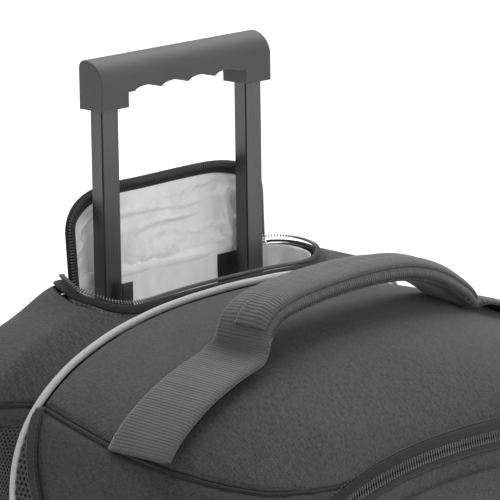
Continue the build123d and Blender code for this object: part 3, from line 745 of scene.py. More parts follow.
def teeth(name, path, across, up, body, pitch=0.0013, reach=0.0034, width=0.00088, height=0.0013, start=0.0):
    """One row of coil teeth that lie across a path, starting at an offset across it."""
    steps = np.concatenate([[0.0], np.cumsum(np.linalg.norm(np.diff(path, axis=0), axis=1))])
    at = np.arange(pitch / 2, steps[-1], pitch)
    centre, side, top = (
        np.stack([np.interp(at, steps, field[:, k]) for k in range(3)], 1) for field in (path, across, up)
    )
    ahead = np.cross(top, side)
    ahead /= np.linalg.norm(ahead, axis=1, keepdims=True)
    stations = np.array([0.0, 0.16, 0.5, 0.84, 1.0]) * reach + start
    girth = np.array([0.35, 0.85, 0.9, 1.0, 0.45])
    turns = np.linspace(0, 2 * math.pi, 7, endpoint=False)
    verts = (
        centre[:, None, None, :]
        + side[:, None, None, :] * stations[None, :, None, None]
        + ahead[:, None, None, :] * (girth[:, None] * np.cos(turns) * width / 2)[None, :, :, None]
        + top[:, None, None, :]
        * (girth[:, None] * np.sin(turns) * height / 2 + height * 0.35)[None, :, :, None]
    )
    faces = [tuple(f) for f in grid_faces(5, 7, wrap=True)] + [tuple(range(7))[::-1], tuple(range(28, 35))]
    everything = [tuple(i * 35 + v for v in f) for i in range(len(at)) for f in faces]
    piece = piece_from(name, verts.reshape(-1, 3), everything, tooth_nylon_painted_glint)
    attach(piece, body)
    return piece


# ---------------------------------------------------------------- camera
EYE = Vector((-2.02707, -1.87802, 1.20774))
AIM = Vector((0.02054, 0.07378, 0.58535))
ROLL = math.radians(-0.809)
LENS = 283.5

camera_data = bpy.data.cameras.new("camera")
camera_data.lens = LENS
camera_data.sensor_width = 36.0
camera_data.clip_end = 100.0
camera = bpy.data.objects.new("camera", camera_data)
bpy.context.scene.collection.objects.link(camera)
away = (EYE - AIM).normalized()
level = (-away).cross(Vector((0, 0, 1))).normalized()
tall = level.cross(-away)
side_axis = level * math.cos(ROLL) + tall * math.sin(ROLL)
up_axis = tall * math.cos(ROLL) - level * math.sin(ROLL)
camera.matrix_world = Matrix.Translation(EYE) @ Matrix(
    (side_axis, up_axis, away)
).transposed().to_4x4()
bpy.context.scene.camera = camera

# ---------------------------------------------------------------- body panels
GAP = 0.0011
top_ys = spaced_ys(DOOR_PLANE + 0.0012, PIPING_Y - 0.0012, 0.0030)
seam_left = s_at_height(top_ys, seam_z(top_ys), -1) + GAP
seam_right = s_at_height(top_ys, seam_z(top_ys), 1) - GAP
share = np.linspace(0, 1, 170)
top_s = seam_left[:, None] + (seam_right - seam_left)[:, None] * share
top_y = np.broadcast_to(top_ys[:, None], top_s.shape)
top_piece = sewn_panel("top_cover", top_s, top_y, body_cloth, "bag", 3)
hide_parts("top_panel")

WHEEL_AT = (0.106, 0.055)
ARCH_R = 0.0655


def panel_foot(y):
    """Lower edge of the side panels, which goes over the wheel arch."""
    reach = np.sqrt(np.clip(ARCH_R**2 - (y - WHEEL_AT[0]) ** 2, 0, None))
    return np.maximum(TRAY_TOP + 0.0008, np.where(reach > 0, WHEEL_AT[1] + reach, 0))


side_ys = spaced_ys(DOOR_PLANE + 0.0012, BACK - 0.0012, 0.0034)
for side, word in ((-1, "left"), (1, "right")):
    low = s_at_height(side_ys, panel_foot(side_ys), side)
    high = s_at_height(side_ys, seam_z(side_ys), side) + side * GAP
    ends = (low, high) if side < 0 else (high, low)
    grid_s = ends[0][:, None] + (ends[1] - ends[0])[:, None] * np.linspace(0, 1, 120)
    grid_y = np.broadcast_to(side_ys[:, None], grid_s.shape)
    piece = sewn_panel(f"side_cover_{word}", grid_s, grid_y, side_cloth_painted_shade, "bag", 11 + side)
    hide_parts(f"side_panel_{word}")
    welt_path, welt_up, _, _ = body_frame(
        s_at_height(side_ys, seam_z(side_ys), side), side_ys, np.full(len(side_ys), -0.0016)
    )
    _, welt_side, welt_top = directions(welt_path, welt_up)
    welt = tube_mesh(
        f"shoulder_welt_{word}", welt_path, welt_side, welt_top, circle_profile(0.0014, 10), binding_cloth
    )
    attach(welt, "bag")
    row_ys = np.linspace(DOOR_PLANE + 0.010, PIPING_Y - 0.006, 300)
    row_s = s_at_height(row_ys, seam_z(row_ys), side) - side * 0.0062
    path, normal, _, _ = body_frame(row_s, row_ys, np.full(300, 0.0002))
    stitches(f"shoulder_stitch_{word}", path, normal, "bag")

# yoke behind the piping, with the opening of the handle pocket
OPENING = [
    (-0.1070, 0.1385), (-0.1155, 0.1290), (-0.1195, 0.1165), (-0.1180, 0.1040), (-0.1110, 0.0935),
    (-0.0990, 0.0862), (-0.0820, 0.0822), (-0.0500, 0.0806), (0.0, 0.0800),
]
opening_half = smooth_path([(x, y, 0.0) for x, y in OPENING], 0.0010)[:, :2]
opening = np.vstack([opening_half, (opening_half * (-1, 1))[::-1][1:]])
opening_turn = np.gradient(opening, axis=0)
opening_turn /= np.linalg.norm(opening_turn, axis=1, keepdims=True)
opening_out = np.stack([opening_turn[:, 1], -opening_turn[:, 0]], 1)
if opening_out[len(opening) // 2, 1] > 0:
    opening_out = -opening_out
YOKE_EDGE = 0.0072


def rim_frame(grow, lift=0.0):
    """Frame along the pocket's rim, moved outward over the body by grow."""
    flat = opening + opening_out * grow
    y = np.minimum(flat[:, 1], BACK - 0.004)
    s = s_at_x(flat[:, 0], y)
    point, normal, across, back = body_frame(s, y, np.full(len(s), lift))
    outward = across * opening_out[:, :1] + back * opening_out[:, 1:]
    outward /= np.linalg.norm(outward, axis=1, keepdims=True)
    return point, normal, outward


def ring_between(inner, outer, rows, power=1.0):
    """Grid between two closed loops of the same length."""
    blend = np.linspace(0, 1, rows)[:, None, None] ** power
    return inner[None] * (1 - blend) + outer[None] * blend


def loop_side(points, count):
    """Evenly spaced points along an open polyline, without its last."""
    length = np.concatenate([[0.0], np.cumsum(np.linalg.norm(np.diff(points, axis=0), axis=1))])
    at = np.linspace(0, length[-1], count + 1)[:-1]
    return np.stack([np.interp(at, length, points[:, k]) for k in range(2)], 1)


front_flat = opening + opening_out * YOKE_EDGE
front_flat[:, 1] = np.minimum(front_flat[:, 1], 0.1405)
front_sy = np.stack([s_at_x(front_flat[:, 0], front_flat[:, 1]), front_flat[:, 1]], 1)
corner = int(np.argmax(front_flat[:, 1] < 0.090))
hinge_line = np.array([front_sy[-1], front_sy[0]])
inner_loop = np.vstack([
    loop_side(front_sy[: corner + 1], 60),
    loop_side(front_sy[corner:-corner], 200),
    loop_side(front_sy[-corner - 1 :], 60),
    loop_side(hinge_line, 200),
])
yoke_low_y, yoke_high_y = PIPING_Y + 0.0012, BACK - 0.0012
edge_ys = np.linspace(yoke_high_y, yoke_low_y, 80)
left_edge = np.stack([s_at_height(edge_ys, SEAM_Z, -1) + GAP, edge_ys], 1)
right_edge = np.stack([s_at_height(edge_ys, SEAM_Z, 1) - GAP, edge_ys], 1)[::-1]
outer_loop = np.vstack([
    loop_side(left_edge, 60),
    loop_side(np.array([left_edge[-1], right_edge[0]]), 200),
    loop_side(right_edge, 60),
    loop_side(np.array([right_edge[-1], left_edge[0]]), 200),
])
ring_sy = ring_between(outer_loop, inner_loop, 36)
points, normal, _, _ = body_frame(ring_sy[..., 0], ring_sy[..., 1])
down = np.linalg.norm(np.diff(points, axis=0), axis=2)
from_edge = np.concatenate([np.zeros((1, points.shape[1])), np.cumsum(down, 0)], 0)
distance = np.minimum(from_edge, from_edge[-1:] - from_edge)
offset = edge_fall(distance, 0.006, 0.0020)
offset = offset + relief(points, 0.06, 0.0005, 21) * np.clip(distance / 0.02, 0, 1)
points = points + normal * offset[..., None]
yoke = piece_from(
    "rear_top_cover", points.reshape(-1, 3), grid_faces(*points.shape[:2], wrap=True), body_cloth,
    ring_sy.reshape(-1, 2),
)
inflate(yoke, (1 - np.clip(distance.ravel() / 0.010, 0, 1)) ** 0.5, 1.0, 12, cap=0.003)
thicken(yoke, 0.0026)
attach(yoke, "bag")
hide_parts("rear_top_panel")


def disc_piece(name, outline, centre, rings, material, bulge, normal):
    """Face that fills a closed outline, swelling along normal towards its middle."""
    blend = 1 - np.linspace(0, 1, rings + 1)[:-1] ** 1.15
    scaled = centre + (outline[None] - centre) * blend[:, None, None]
    rise = bulge * (1 - blend**2.4)[:, None, None]
    points = scaled + np.asarray(normal) * rise
    rows, columns = points.shape[:2]
    verts = np.vstack([points.reshape(-1, 3), centre + np.asarray(normal) * bulge])
    faces = [tuple(f) for f in grid_faces(rows, columns, wrap=True)]
    last = (rows - 1) * columns
    faces += [(last + c, last + (c + 1) % columns, rows * columns) for c in range(columns)]
    return piece_from(name, verts, faces, material, verts[:, [0, 2]])


def closed_outline(y, z_low, lift):
    """Closed loop round the section at y, from z_low up and over, and back along the bottom."""
    arch, _ = outline_path(y, lift, z_low, 360)
    bottom = np.linspace(arch[-1], arch[0], 82)[1:-1]
    return np.vstack([arch, bottom])




# back face
back_edge = closed_outline(BACK - 0.0006, TRAY_TOP + 0.001, -0.0030)
back_edge[:, 1] = BACK - 0.0032
back_face = disc_piece(
    "back_cover", back_edge, np.array([0.0, BACK - 0.0032, 0.31]), 60, side_cloth_painted_shade, 0.0042, (0, 1, 0)
)
back_face.data.flip_normals()
thicken(back_face, 0.003)
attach(back_face, "bag")
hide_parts("back_panel")
binding_path = closed_outline(BACK - 0.0022, TRAY_TOP + 0.0015, -0.0006)
binding_path = np.vstack([binding_path, binding_path[:1]])[:361]
_, binding_side, binding_top = directions(binding_path, (0, 1, 0))
back_binding = tube_mesh(
    "back_binding", binding_path, binding_side, binding_top, circle_profile(0.0019, 10), binding_cloth
)
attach(back_binding, "bag")

# front door: a rim that rolls from the zipper on to the flat face
door_rows = []
for rim_y in spaced_ys(FRONT, DOOR_PLANE - 0.0014, 0.0022)[::-1]:
    loop = closed_outline(rim_y, 0.0762, 0.0)
    loop[360:, 1] = np.interp(np.arange(80), [0, 4, 76, 79], [rim_y, FRONT + 0.0002, FRONT + 0.0002, rim_y])
    door_rows.append(loop)
door_edge = door_rows[-1]
door_middle = np.array([0.0, FRONT, 0.26])
shrink = 1 - np.linspace(0, 1, 61)[1:-1] ** 1.1
for part in shrink:
    loop = door_middle + (door_edge - door_middle) * part
    away_from_edge = (1 - part) * 0.185
    loop[:, 1] = FRONT - 0.0042 * (1 - np.exp(-away_from_edge / 0.016))
    door_rows.append(loop)
door_points = np.stack(door_rows)
depth = relief(door_points, 0.10, 0.0009, 31) * np.clip((door_points[..., 2] - 0.09) / 0.05, 0, 1)
depth[: len(door_rows) - len(shrink) + 3] = 0
door_points[..., 1] -= depth
verts = np.vstack([door_points.reshape(-1, 3), [door_middle - (0, 0.0042, 0)]])
rows, columns = door_points.shape[:2]
faces = [tuple(f)[::-1] for f in grid_faces(rows, columns, wrap=True)]
last_row = (rows - 1) * columns
faces += [(last_row + (c + 1) % columns, last_row + c, rows * columns) for c in range(columns)]
door = piece_from("door_cover", verts, faces, body_cloth, verts[:, [0, 2]])
thicken(door, 0.0028)
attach(door, "front_door")
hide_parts("front_door")

# hinge of the door: a strip of cloth from the tray on to the door
strip_x = np.linspace(-0.172, 0.172, 120)
strip_z = np.linspace(0.0625, 0.0835, 15)
hinge_points = np.stack(np.meshgrid(strip_x, strip_z), -1)
hinge_points = np.stack([
    hinge_points[..., 0], np.full(hinge_points.shape[:2], FRONT - 0.0012), hinge_points[..., 1]
], -1)
hinge_strip = grid_piece("door_hinge_strip", hinge_points, tape_cloth, 0.0009)
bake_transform(hinge_strip)

# ---------------------------------------------------------------- piping
pipe_path, pipe_normal = outline_path(PIPING_Y, 0.0014, TRAY_TOP + 0.002, 700)
keep = (pipe_path[:, 2] > 0.0760)
pipe_path, pipe_normal = pipe_path[keep], pipe_normal[keep]
wander = relief(pipe_path, 0.11, 0.0004, 5)
pipe_path = pipe_path + pipe_normal * np.abs(wander)[:, None]
_, pipe_side, pipe_top = directions(pipe_path, pipe_normal)
pipe = tube_mesh("shell_piping", pipe_path, pipe_side, pipe_top, circle_profile(0.0027, 16), piping_cloth)
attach(pipe, "bag")
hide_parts("piping")

# ---------------------------------------------------------------- main zipper
zip_ys = np.full(900, DOOR_PLANE)
zip_low = 0.092
zip_left, zip_right = (s_at_height(np.array([DOOR_PLANE]), zip_low, side)[0] for side in (-1, 1))
zip_s = np.linspace(zip_left, zip_right, 900)
zip_path, zip_normal, _, zip_back = body_frame(zip_s, zip_ys, np.full(900, 0.0))
zip_out = zip_back
main_tape = strip(
    "main_zip_body_tape", zip_path, zip_out, zip_normal,
    [0.0016, 0.0024, 0.0060, 0.0098, 0.0104], [0.0009, 0.0015, 0.0013, 0.0009, 0.0001],
    tape_cloth, "bag", 0.0006,
)
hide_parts("main_zipper_body_tape")
door_tape = strip(
    "main_zip_door_tape", zip_path, -zip_out, zip_normal,
    [0.0016, 0.0024, 0.0050, 0.0078, 0.0084], [0.0009, 0.0015, 0.0013, 0.0012, 0.0004],
    tape_cloth, "front_door",
)
door_tape.data.flip_normals()
thicken(door_tape, 0.0006)
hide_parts("main_zipper_door_tape")
lifted = zip_path + zip_normal * 0.0012
for word, body, outward in (("body", "bag", zip_out), ("door", "front_door", -zip_out)):
    chain = teeth(
        f"main_zip_{word}_teeth", lifted, outward, zip_normal, body,
        pitch=0.0025, width=0.0013, reach=0.0042, height=0.0017, start=-0.0002,
    )
for word, offset in (("a", 0.0085), ("b", 0.0125)):
    sewn_path = zip_path + zip_out * offset + zip_normal * 0.0010
    stitches(f"main_zip_stitch_{word}", sewn_path[20:-20], zip_normal[20:-20], "bag")

# ---------------------------------------------------------------- handle pocket zipper
rim_path, rim_normal, rim_out = rim_frame(0.0)
tape_offsets = [-0.0006, 0.0004, 0.0030, 0.0066, 0.0074]
tape_lifts = [0.0010, 0.0018, 0.0018, 0.0014, 0.0004]
pocket_tape = strip(
    "pocket_zip_tape", rim_path, rim_out, rim_normal, tape_offsets, tape_lifts, tape_cloth, None
)
pocket_tape.data.flip_normals()
thicken(pocket_tape, 0.0008)
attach(pocket_tape, "bag")
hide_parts("pocket_zipper_tape")
pocket_teeth = teeth(
    "pocket_zip_teeth", rim_path + rim_normal * 0.0050, rim_out, rim_normal, "bag",
    pitch=0.0022, width=0.00125, start=-0.0012, reach=0.0042, height=0.0020,
)
sewn_path = rim_path + rim_out * 0.0090 + rim_normal * 0.0003
stitches("pocket_zip_stitch", sewn_path[30:-30], rim_normal[30:-30], "bag")

# ---------------------------------------------------------------- flap
FLAP_HALF = 0.1055
FLAP_TOP = 0.6375
FLAP_FOOT = 0.5665
FLAP_Y = 0.1432


def flap_top(x):
    """Height of the flap's upper edge at x."""
    t = np.clip((np.abs(x) - 0.040) / (FLAP_HALF - 0.040), 0, 1)
    return FLAP_TOP - 0.030 * (1 - (1 - t**2.3) ** (1 / 2.3))


def flap_y(x, z):
    """How far back the standing flap is at x, z: its left edge is pulled forward by the slider."""
    left = np.clip((-x - 0.062) / 0.045, 0, 1)
    up = np.clip((z - FLAP_FOOT) / (FLAP_TOP - FLAP_FOOT), 0, 1)
    return FLAP_Y - 0.0085 * left**2 * (1 - 0.3 * up) + 0.0025 * up + 0.0009 * np.sin(x * 55) * up


def flap_grid(inset, shift, rows, columns):
    """Grid over the flap, kept in from its edge by inset and set forward by shift."""
    u = np.linspace(-1, 1, columns)
    u = np.sin(u * math.pi / 2) * 0.35 + u * 0.65
    x = u * (FLAP_HALF - inset)
    high = flap_top(x * FLAP_HALF / (FLAP_HALF - inset)) - inset
    v = np.linspace(0, 1, rows)[:, None]
    z = FLAP_FOOT + (high - FLAP_FOOT) * v
    x = np.broadcast_to(x, z.shape)
    return np.stack([x, flap_y(x, z) - shift, z], -1)


cover_grid = flap_grid(0.0015, 0.0, 50, 130)[:, ::-1]
flap_cover = grid_piece("flap_cover", cover_grid, body_cloth, 0.0014)
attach(flap_cover, "pocket_flap")
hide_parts("pocket_flap")

edge_x = np.linspace(-FLAP_HALF, FLAP_HALF, 1400)
side_z = np.linspace(FLAP_FOOT + 0.001, FLAP_TOP - 0.030, 80)
edge_flat = np.vstack([
    np.stack([np.full(80, -FLAP_HALF), side_z], 1),
    np.stack([edge_x, flap_top(edge_x)], 1),
    np.stack([np.full(80, FLAP_HALF), side_z[::-1]], 1),
])
edge_x, edge_z = edge_flat.T
flap_edge = resample(np.stack([edge_x, flap_y(edge_x, edge_z), edge_z], 1), 0.0009)
for _ in range(12):
    flap_edge[1:-1] = 0.5 * flap_edge[1:-1] + 0.25 * (flap_edge[:-2] + flap_edge[2:])
_, edge_side, edge_up = directions(flap_edge, (0, -1, 0))
if (edge_side[len(edge_side) // 2, 2]) < 0:
    edge_side = -edge_side
flap_tape = strip(
    "flap_zip_tape", flap_edge, edge_side, edge_up,
    [-0.0074, -0.0066, -0.0036, 0.0000, 0.0006], [0.0018, 0.0030, 0.0032, 0.0030, 0.0014], tape_cloth, None,
)
thicken(flap_tape, 0.0009)
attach(flap_tape, "pocket_flap")
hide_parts("flap_zipper_tape")
flap_teeth = teeth(
    "flap_zip_teeth", flap_edge + edge_up * 0.0036, edge_side, edge_up, "pocket_flap",
    pitch=0.0022, width=0.00125, start=-0.0036, reach=0.0040, height=0.0020,
)
stitches("flap_zip_stitch", flap_edge - edge_side * 0.0058 + edge_up * 0.0034, edge_up, "pocket_flap")

lining_grid = flap_grid(0.0075, 0.0026, 70, 190)
u_grid, v_grid = np.meshgrid(np.linspace(0, 1, 190), np.linspace(0, 1, 70))
near_edge = np.minimum.reduce([u_grid * 2.6, (1 - u_grid) * 2.6, (1 - v_grid) * 1.0, v_grid * 1.0])
fold = np.clip(near_edge / 0.16, 0, 1)
folds = (
    0.0011 * np.sin(v_grid * 21 + 2.4 * np.sin(u_grid * 5.2) + 1.0)
    + 0.0008 * np.sin(v_grid * 34 - u_grid * 9 + 2.0 * np.sin(u_grid * 8.1 + v_grid * 3))
    + 0.0052 * np.exp(-(((u_grid - 0.80 - 0.016 * np.sin(v_grid * 7)) / 0.022) ** 2))
)
lining_grid[..., 1] -= (0.0014 + folds) * fold
flap_lining = grid_piece("flap_lining", lining_grid, satin)
pins = 1 - np.clip(near_edge.ravel() / 0.07, 0, 1)
inflate(flap_lining, pins, 0.35, 22, stretch=0.035, stiffness=9.0, cap=0.0040)
settled = np.empty(len(flap_lining.data.vertices) * 3, np.float32)
flap_lining.data.vertices.foreach_get("co", settled)
settled = settled.reshape(-1, 3).astype(float)
in_front = flap_y(settled[:, 0], settled[:, 2]) - 0.0024
settled[:, 1] = np.clip(settled[:, 1], in_front - 0.0050, in_front)
flap_lining.data.vertices.foreach_set("co", settled.ravel().astype(np.float32))
flap_lining.data.update()
thicken(flap_lining, 0.0005)
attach(flap_lining, "pocket_flap")

# roll of lining over the hinge
roll_x = np.linspace(-0.104, 0.104, 150)
roll_turn = np.linspace(-0.35, 1.0, 16)
roll = []
for t in roll_turn:
    z = FLAP_FOOT + 0.0015 + 0.0085 * t
    bulge = 0.0030 * math.sin(math.pi * (t + 0.35) / 1.35) ** 0.8
    wave = 0.0006 * np.sin(roll_x * 90) + 0.0004 * np.sin(roll_x * 210 + 1)
    y = flap_y(roll_x, np.full(150, z)) - 0.0022 - (bulge + wave * math.sin(math.pi * (t + 0.35) / 1.35))
    roll.append(np.stack([roll_x, y, np.full(150, z)], -1))
hinge_roll = grid_piece("flap_hinge_roll", np.stack(roll), satin, 0.0005)
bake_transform(hinge_roll)
back_roll = []
for t in np.linspace(0, 1, 10):
    x = np.linspace(-0.1045, 0.1045, 150)
    low = body_frame(s_at_x(x, np.full(150, 0.1445)), np.full(150, 0.1445), np.full(150, 0.0004))[0]
    high = np.stack([x, flap_y(x, np.full(150, 0.577)) + 0.0004, np.full(150, 0.577)], -1)
    back_roll.append(low * (1 - t) + high * t)
outer_roll = grid_piece("flap_hinge_cover", np.stack(back_roll)[:, ::-1], body_cloth, 0.0009)
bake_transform(outer_roll)

# ---------------------------------------------------------------- pocket lining
LINER_FLOOR = 0.5062
wall_loop = opening + opening_out * -0.0022
back_line = loop_side(np.array([wall_loop[-1], wall_loop[0]]), 150)
front_line = loop_side(wall_loop, 330)
wall_flat = np.vstack([front_line, back_line])
wall_flat[:, 1] = np.minimum(wall_flat[:, 1], 0.1408)
wall_top = np.array([top_z(np.array(x), np.array(y)) for x, y in wall_flat])
wall_top = wall_top + pocket_lift(wall_flat[:, 0], wall_flat[:, 1]) - 0.0008
wall_top[330:] = FLAP_FOOT + 0.0030
wall_flat[330:, 1] = 0.1396
liner_rows = []
inward = -np.gradient(wall_flat, axis=0)[:, ::-1] * (1, -1)
inward /= np.linalg.norm(inward, axis=1, keepdims=True)
length_round = np.arange(len(wall_flat)) / len(wall_flat)
for t in np.linspace(0, 1, 34):
    z = wall_top * (1 - t) + LINER_FLOOR * t
    ripple = (
        0.0016 * np.sin(length_round * 2 * math.pi * 17 + 2.5 * t)
        + 0.0011 * np.sin(length_round * 2 * math.pi * 31 - 4 * t + 1)
        + 0.0012 * np.sin(t * 9 + 3 * np.sin(length_round * 2 * math.pi * 3))
    ) * math.sin(math.pi * min(1.0, t * 1.3 + 0.02)) ** 0.7
    ripple[330:] = 0.3 * np.abs(ripple[330:])
    flat = wall_flat * (1 - 0.03 * t) + np.array([0.0, 0.0042]) * t
    flat[:, 1] = np.minimum(flat[:, 1] + ripple, 0.1425)
    flat[:, 0] += ripple * 0.6
    liner_rows.append(np.stack([flat[:, 0], flat[:, 1], z], -1))
floor_edge = liner_rows[-1]
for t in np.linspace(0, 1, 26)[1:]:
    flat = floor_edge.copy()
    flat[:, 0] = floor_edge[:, 0] * (1 - t * 0.03)
    flat[:, 1] = 0.1125 + (floor_edge[:, 1] - 0.1125) * (1 - t * 0.985)
    flat[:, 2] = LINER_FLOOR - 0.0006 * np.sin(math.pi * t) + 0.0004 * np.sin(flat[:, 0] * 130)
    liner_rows.append(flat)
liner_points = np.stack(liner_rows)
rows, columns = liner_points.shape[:2]
verts = liner_points.reshape(-1, 3)
faces = grid_faces(rows, columns, wrap=True)
middle = verts[faces].mean(axis=1)
near_tube = (
    (np.abs(np.abs(middle[:, 0]) - TUBE_X) < 0.0178)
    & (np.abs(middle[:, 1] - TUBE_Y) < 0.0155)
    & (middle[:, 2] < 0.515)
)
faces = faces[~near_tube]
liner_uv = np.stack([verts[:, 0] + verts[:, 1], verts[:, 2]], 1)
liner = piece_from("pocket_lining", verts, faces, satin, liner_uv)
liner.data.flip_normals()
thicken(liner, 0.0005)
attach(liner, "bag")
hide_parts("handle_pocket_liner")

# ---------------------------------------------------------------- carry handle
RIB = 0.0023              # spacing of the ribs
HANDLE_STEP = 0.00040     # along the line of the handle
handle_line = smooth_path([
    (-0.2080, -0.040, 0.4990), (-0.2000, -0.040, 0.5095), (-0.1850, -0.041, 0.5235),
    (-0.1650, -0.042, 0.5365), (-0.1450, -0.043, 0.5460), (-0.1250, -0.044, 0.5500),
    (-0.1165, -0.045, 0.5545), (-0.1130, -0.045, 0.5635), (-0.1060, -0.045, 0.5745),
    (-0.0930, -0.045, 0.5818), (-0.0700, -0.045, 0.5862), (-0.0400, -0.045, 0.5890),
    (0.0000, -0.045, 0.5900), (0.0350, -0.045, 0.5880), (0.0600, -0.045, 0.5825),
    (0.0800, -0.045, 0.5745), (0.0960, -0.045, 0.5650), (0.1070, -0.045, 0.5570),
    (0.1150, -0.044, 0.5500), (0.1350, -0.043, 0.5460), (0.1650, -0.042, 0.5365),
    (0.1850, -0.041, 0.5235), (0.2000, -0.040, 0.5095), (0.2080, -0.040, 0.4990),
], HANDLE_STEP)
e_lift = surface_point(handle_line[:, 0], handle_line[:, 1], 0.0028)[0]
on_patch = np.clip((np.abs(handle_line[:, 0]) - 0.1150) / 0.0100, 0, 1)[:, None]
on_patch = on_patch * on_patch * (3 - 2 * on_patch)
handle_line = handle_line * (1 - on_patch) + e_lift * on_patch
floor_line = surface_point(handle_line[:, 0], handle_line[:, 1], 0.0028)[0][:, 2]
handle_line[:, 2] = np.maximum(handle_line[:, 2], floor_line)
handle_line = resample(handle_line, HANDLE_STEP)
for _ in range(30):
    handle_line[1:-1] = 0.5 * handle_line[1:-1] + 0.25 * (handle_line[:-2] + handle_line[2:])
ahead = np.gradient(handle_line, axis=0)
ahead /= np.linalg.norm(ahead, axis=1, keepdims=True)
wide = np.broadcast_to(np.array([0.0, -1.0, 0.0]), ahead.shape)
wide = wide - ahead * (wide * ahead).sum(1, keepdims=True)
wide /= np.linalg.norm(wide, axis=1, keepdims=True)
proud = np.cross(wide, ahead) * -1
if proud[len(proud) // 2, 2] < 0:
    proud = -proud
patch_share = np.clip((np.abs(handle_line[:, 0]) - 0.1080) / 0.0120, 0, 1)
patch_share[np.abs(handle_line[:, 0]) < 0.10] = 0.0
patch_share = patch_share * patch_share * (3 - 2 * patch_share)
run = np.arange(len(handle_line)) * HANDLE_STEP
rib_wave = np.abs(np.sin(math.pi * run / RIB)) ** 0.8


def paint_rib_light_shade(piece, rib_light_shade, columns):
    """Store how high each point stands on its rib, for the painted highlight on the crests and the painted shade
    between them in the webbing's colour.
    """
    store = piece.data.attributes.new("rib", "FLOAT", "POINT")
    store.data.foreach_set("value", np.repeat(rib_light_shade, columns).astype(np.float32))


def band(name, offsets_flat, lifts_flat, offsets_fold, lifts_fold, thickness):
    """Layer of the webbing along the whole handle, its section folding from flat to the grip."""
    sections = (offsets_flat, lifts_flat, offsets_fold, lifts_fold)
    flat_o, flat_l, fold_o, fold_l = (np.asarray(a, float)[None] for a in sections)
    share_col = patch_share[:, None]
    across = flat_o * share_col + fold_o * (1 - share_col)
    lift = flat_l * share_col + fold_l * (1 - share_col)
    edge = np.minimum(np.arange(across.shape[1]), np.arange(across.shape[1])[::-1])[None]
    ribs = rib_wave[:, None] * 0.0009 * np.clip(edge / 1.5, 0, 1)
    points = (
        handle_line[:, None]
        + wide[:, None] * across[..., None]
        + proud[:, None] * (lift + ribs)[..., None]
    )
    piece = grid_piece(name, points, webbing)
    paint_rib_light_shade(piece, rib_wave, points.shape[1])
    piece.data.flip_normals()
    thicken(piece, thickness)
    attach(piece, "bag")
    return piece


flat_across = np.linspace(-0.0285, 0.0285, 34)
flat_lift = 0.0012 - 0.0014 * np.abs(flat_across / 0.0285) ** 8
fold_turn = np.linspace(0, 1, 34)
fold_across = np.interp(fold_turn, [0, 0.10, 0.2, 0.45, 0.62, 0.72, 0.80, 0.90, 1.0],
                        [-0.0195, -0.0215, -0.0205, -0.0075, 0.0060, 0.0130, 0.0190, 0.0215, 0.0195])
fold_lift = np.interp(fold_turn, [0, 0.10, 0.2, 0.45, 0.62, 0.72, 0.80, 0.90, 1.0],
                      [-0.0055, -0.0020, 0.0022, 0.0045, 0.0038, 0.0040, 0.0010, -0.0035, -0.0062])
handle = band("handle_webbing", flat_across, flat_lift, fold_across, fold_lift, 0.0022)
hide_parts("carry_handle", "strap_patch_left", "strap_patch_right")
arch_rows = np.flatnonzero(patch_share < 0.02)
lo, hi = arch_rows[0] - 6, arch_rows[-1] + 6


def arch_strip(name, across, lift, material, thickness, ribbed=False):
    """Grid along the arch only, at these offsets across and up."""
    rows_here = slice(lo, hi)
    bump = rib_wave[rows_here, None] * (0.0008 if ribbed else 0.0)
    points = (
        handle_line[rows_here, None]
        + wide[rows_here, None] * np.asarray(across)[None, :, None]
        + proud[rows_here, None] * (np.asarray(lift)[None] + bump)[..., None]
    )
    piece = grid_piece(name, points, material)
    paint_rib_light_shade(piece, rib_wave[rows_here], points.shape[1])
    piece.data.flip_normals()
    thicken(piece, thickness)
    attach(piece, "bag")
    return piece


arch_strip("handle_under_fold", [0.0200, 0.0150, 0.005, -0.006, -0.0150, -0.0200],
           [-0.0050, -0.0072, -0.0066, -0.0066, -0.0066, -0.0046], webbing, 0.0018)
lap_across = np.linspace(-0.0035, 0.0205, 14)
lap_lift = np.interp(
    lap_across, [-0.0035, -0.002, 0.006, 0.013, 0.0185, 0.0205],
    [0.0052, 0.0068, 0.0060, 0.0062, 0.0036, 0.0012],
)
arch_strip("handle_overlap", lap_across, lap_lift, webbing, 0.0018, ribbed=True)


def on_handle(rows_at, across, lift):
    """Points on the handle at fractional rows of its line."""
    index = np.arange(len(handle_line))
    place = [np.interp(rows_at, index, handle_line[:, k]) for k in range(3)]
    w = [np.interp(rows_at, index, wide[:, k]) for k in range(3)]
    p = [np.interp(rows_at, index, proud[:, k]) for k in range(3)]
    place, w, p = (np.stack(a, 1) for a in (place, w, p))
    return place + w * np.asarray(across)[:, None] + p * np.asarray(lift)[:, None], p


def zigzag(name, centre, amplitude, lift, thread, pitch=0.0026):
    """Zigzag stitching along the arch."""
    rows_here = np.arange(lo + 12, hi - 12, pitch / 2 / HANDLE_STEP)
    sway = np.where(np.arange(len(rows_here)) % 2 == 0, amplitude, -amplitude)
    path, _ = on_handle(rows_here, centre + sway, np.full(len(rows_here), lift))
    path = resample(path, 0.0005)
    _, side_way, up_way = directions(path, (0, 0, 1))
    piece = tube_mesh(name, path, side_way, up_way, circle_profile(0.00034, 6), thread)
    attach(piece, "bag")


PATCH_STITCH = 0.0235     # half width of the stitched box on each patch
zigzag("handle_zigzag_mid", 0.0035, 0.0012, 0.0076, dark_thread)
zigzag("handle_zigzag_lip", 0.0160, 0.0012, 0.0062, pale_thread)

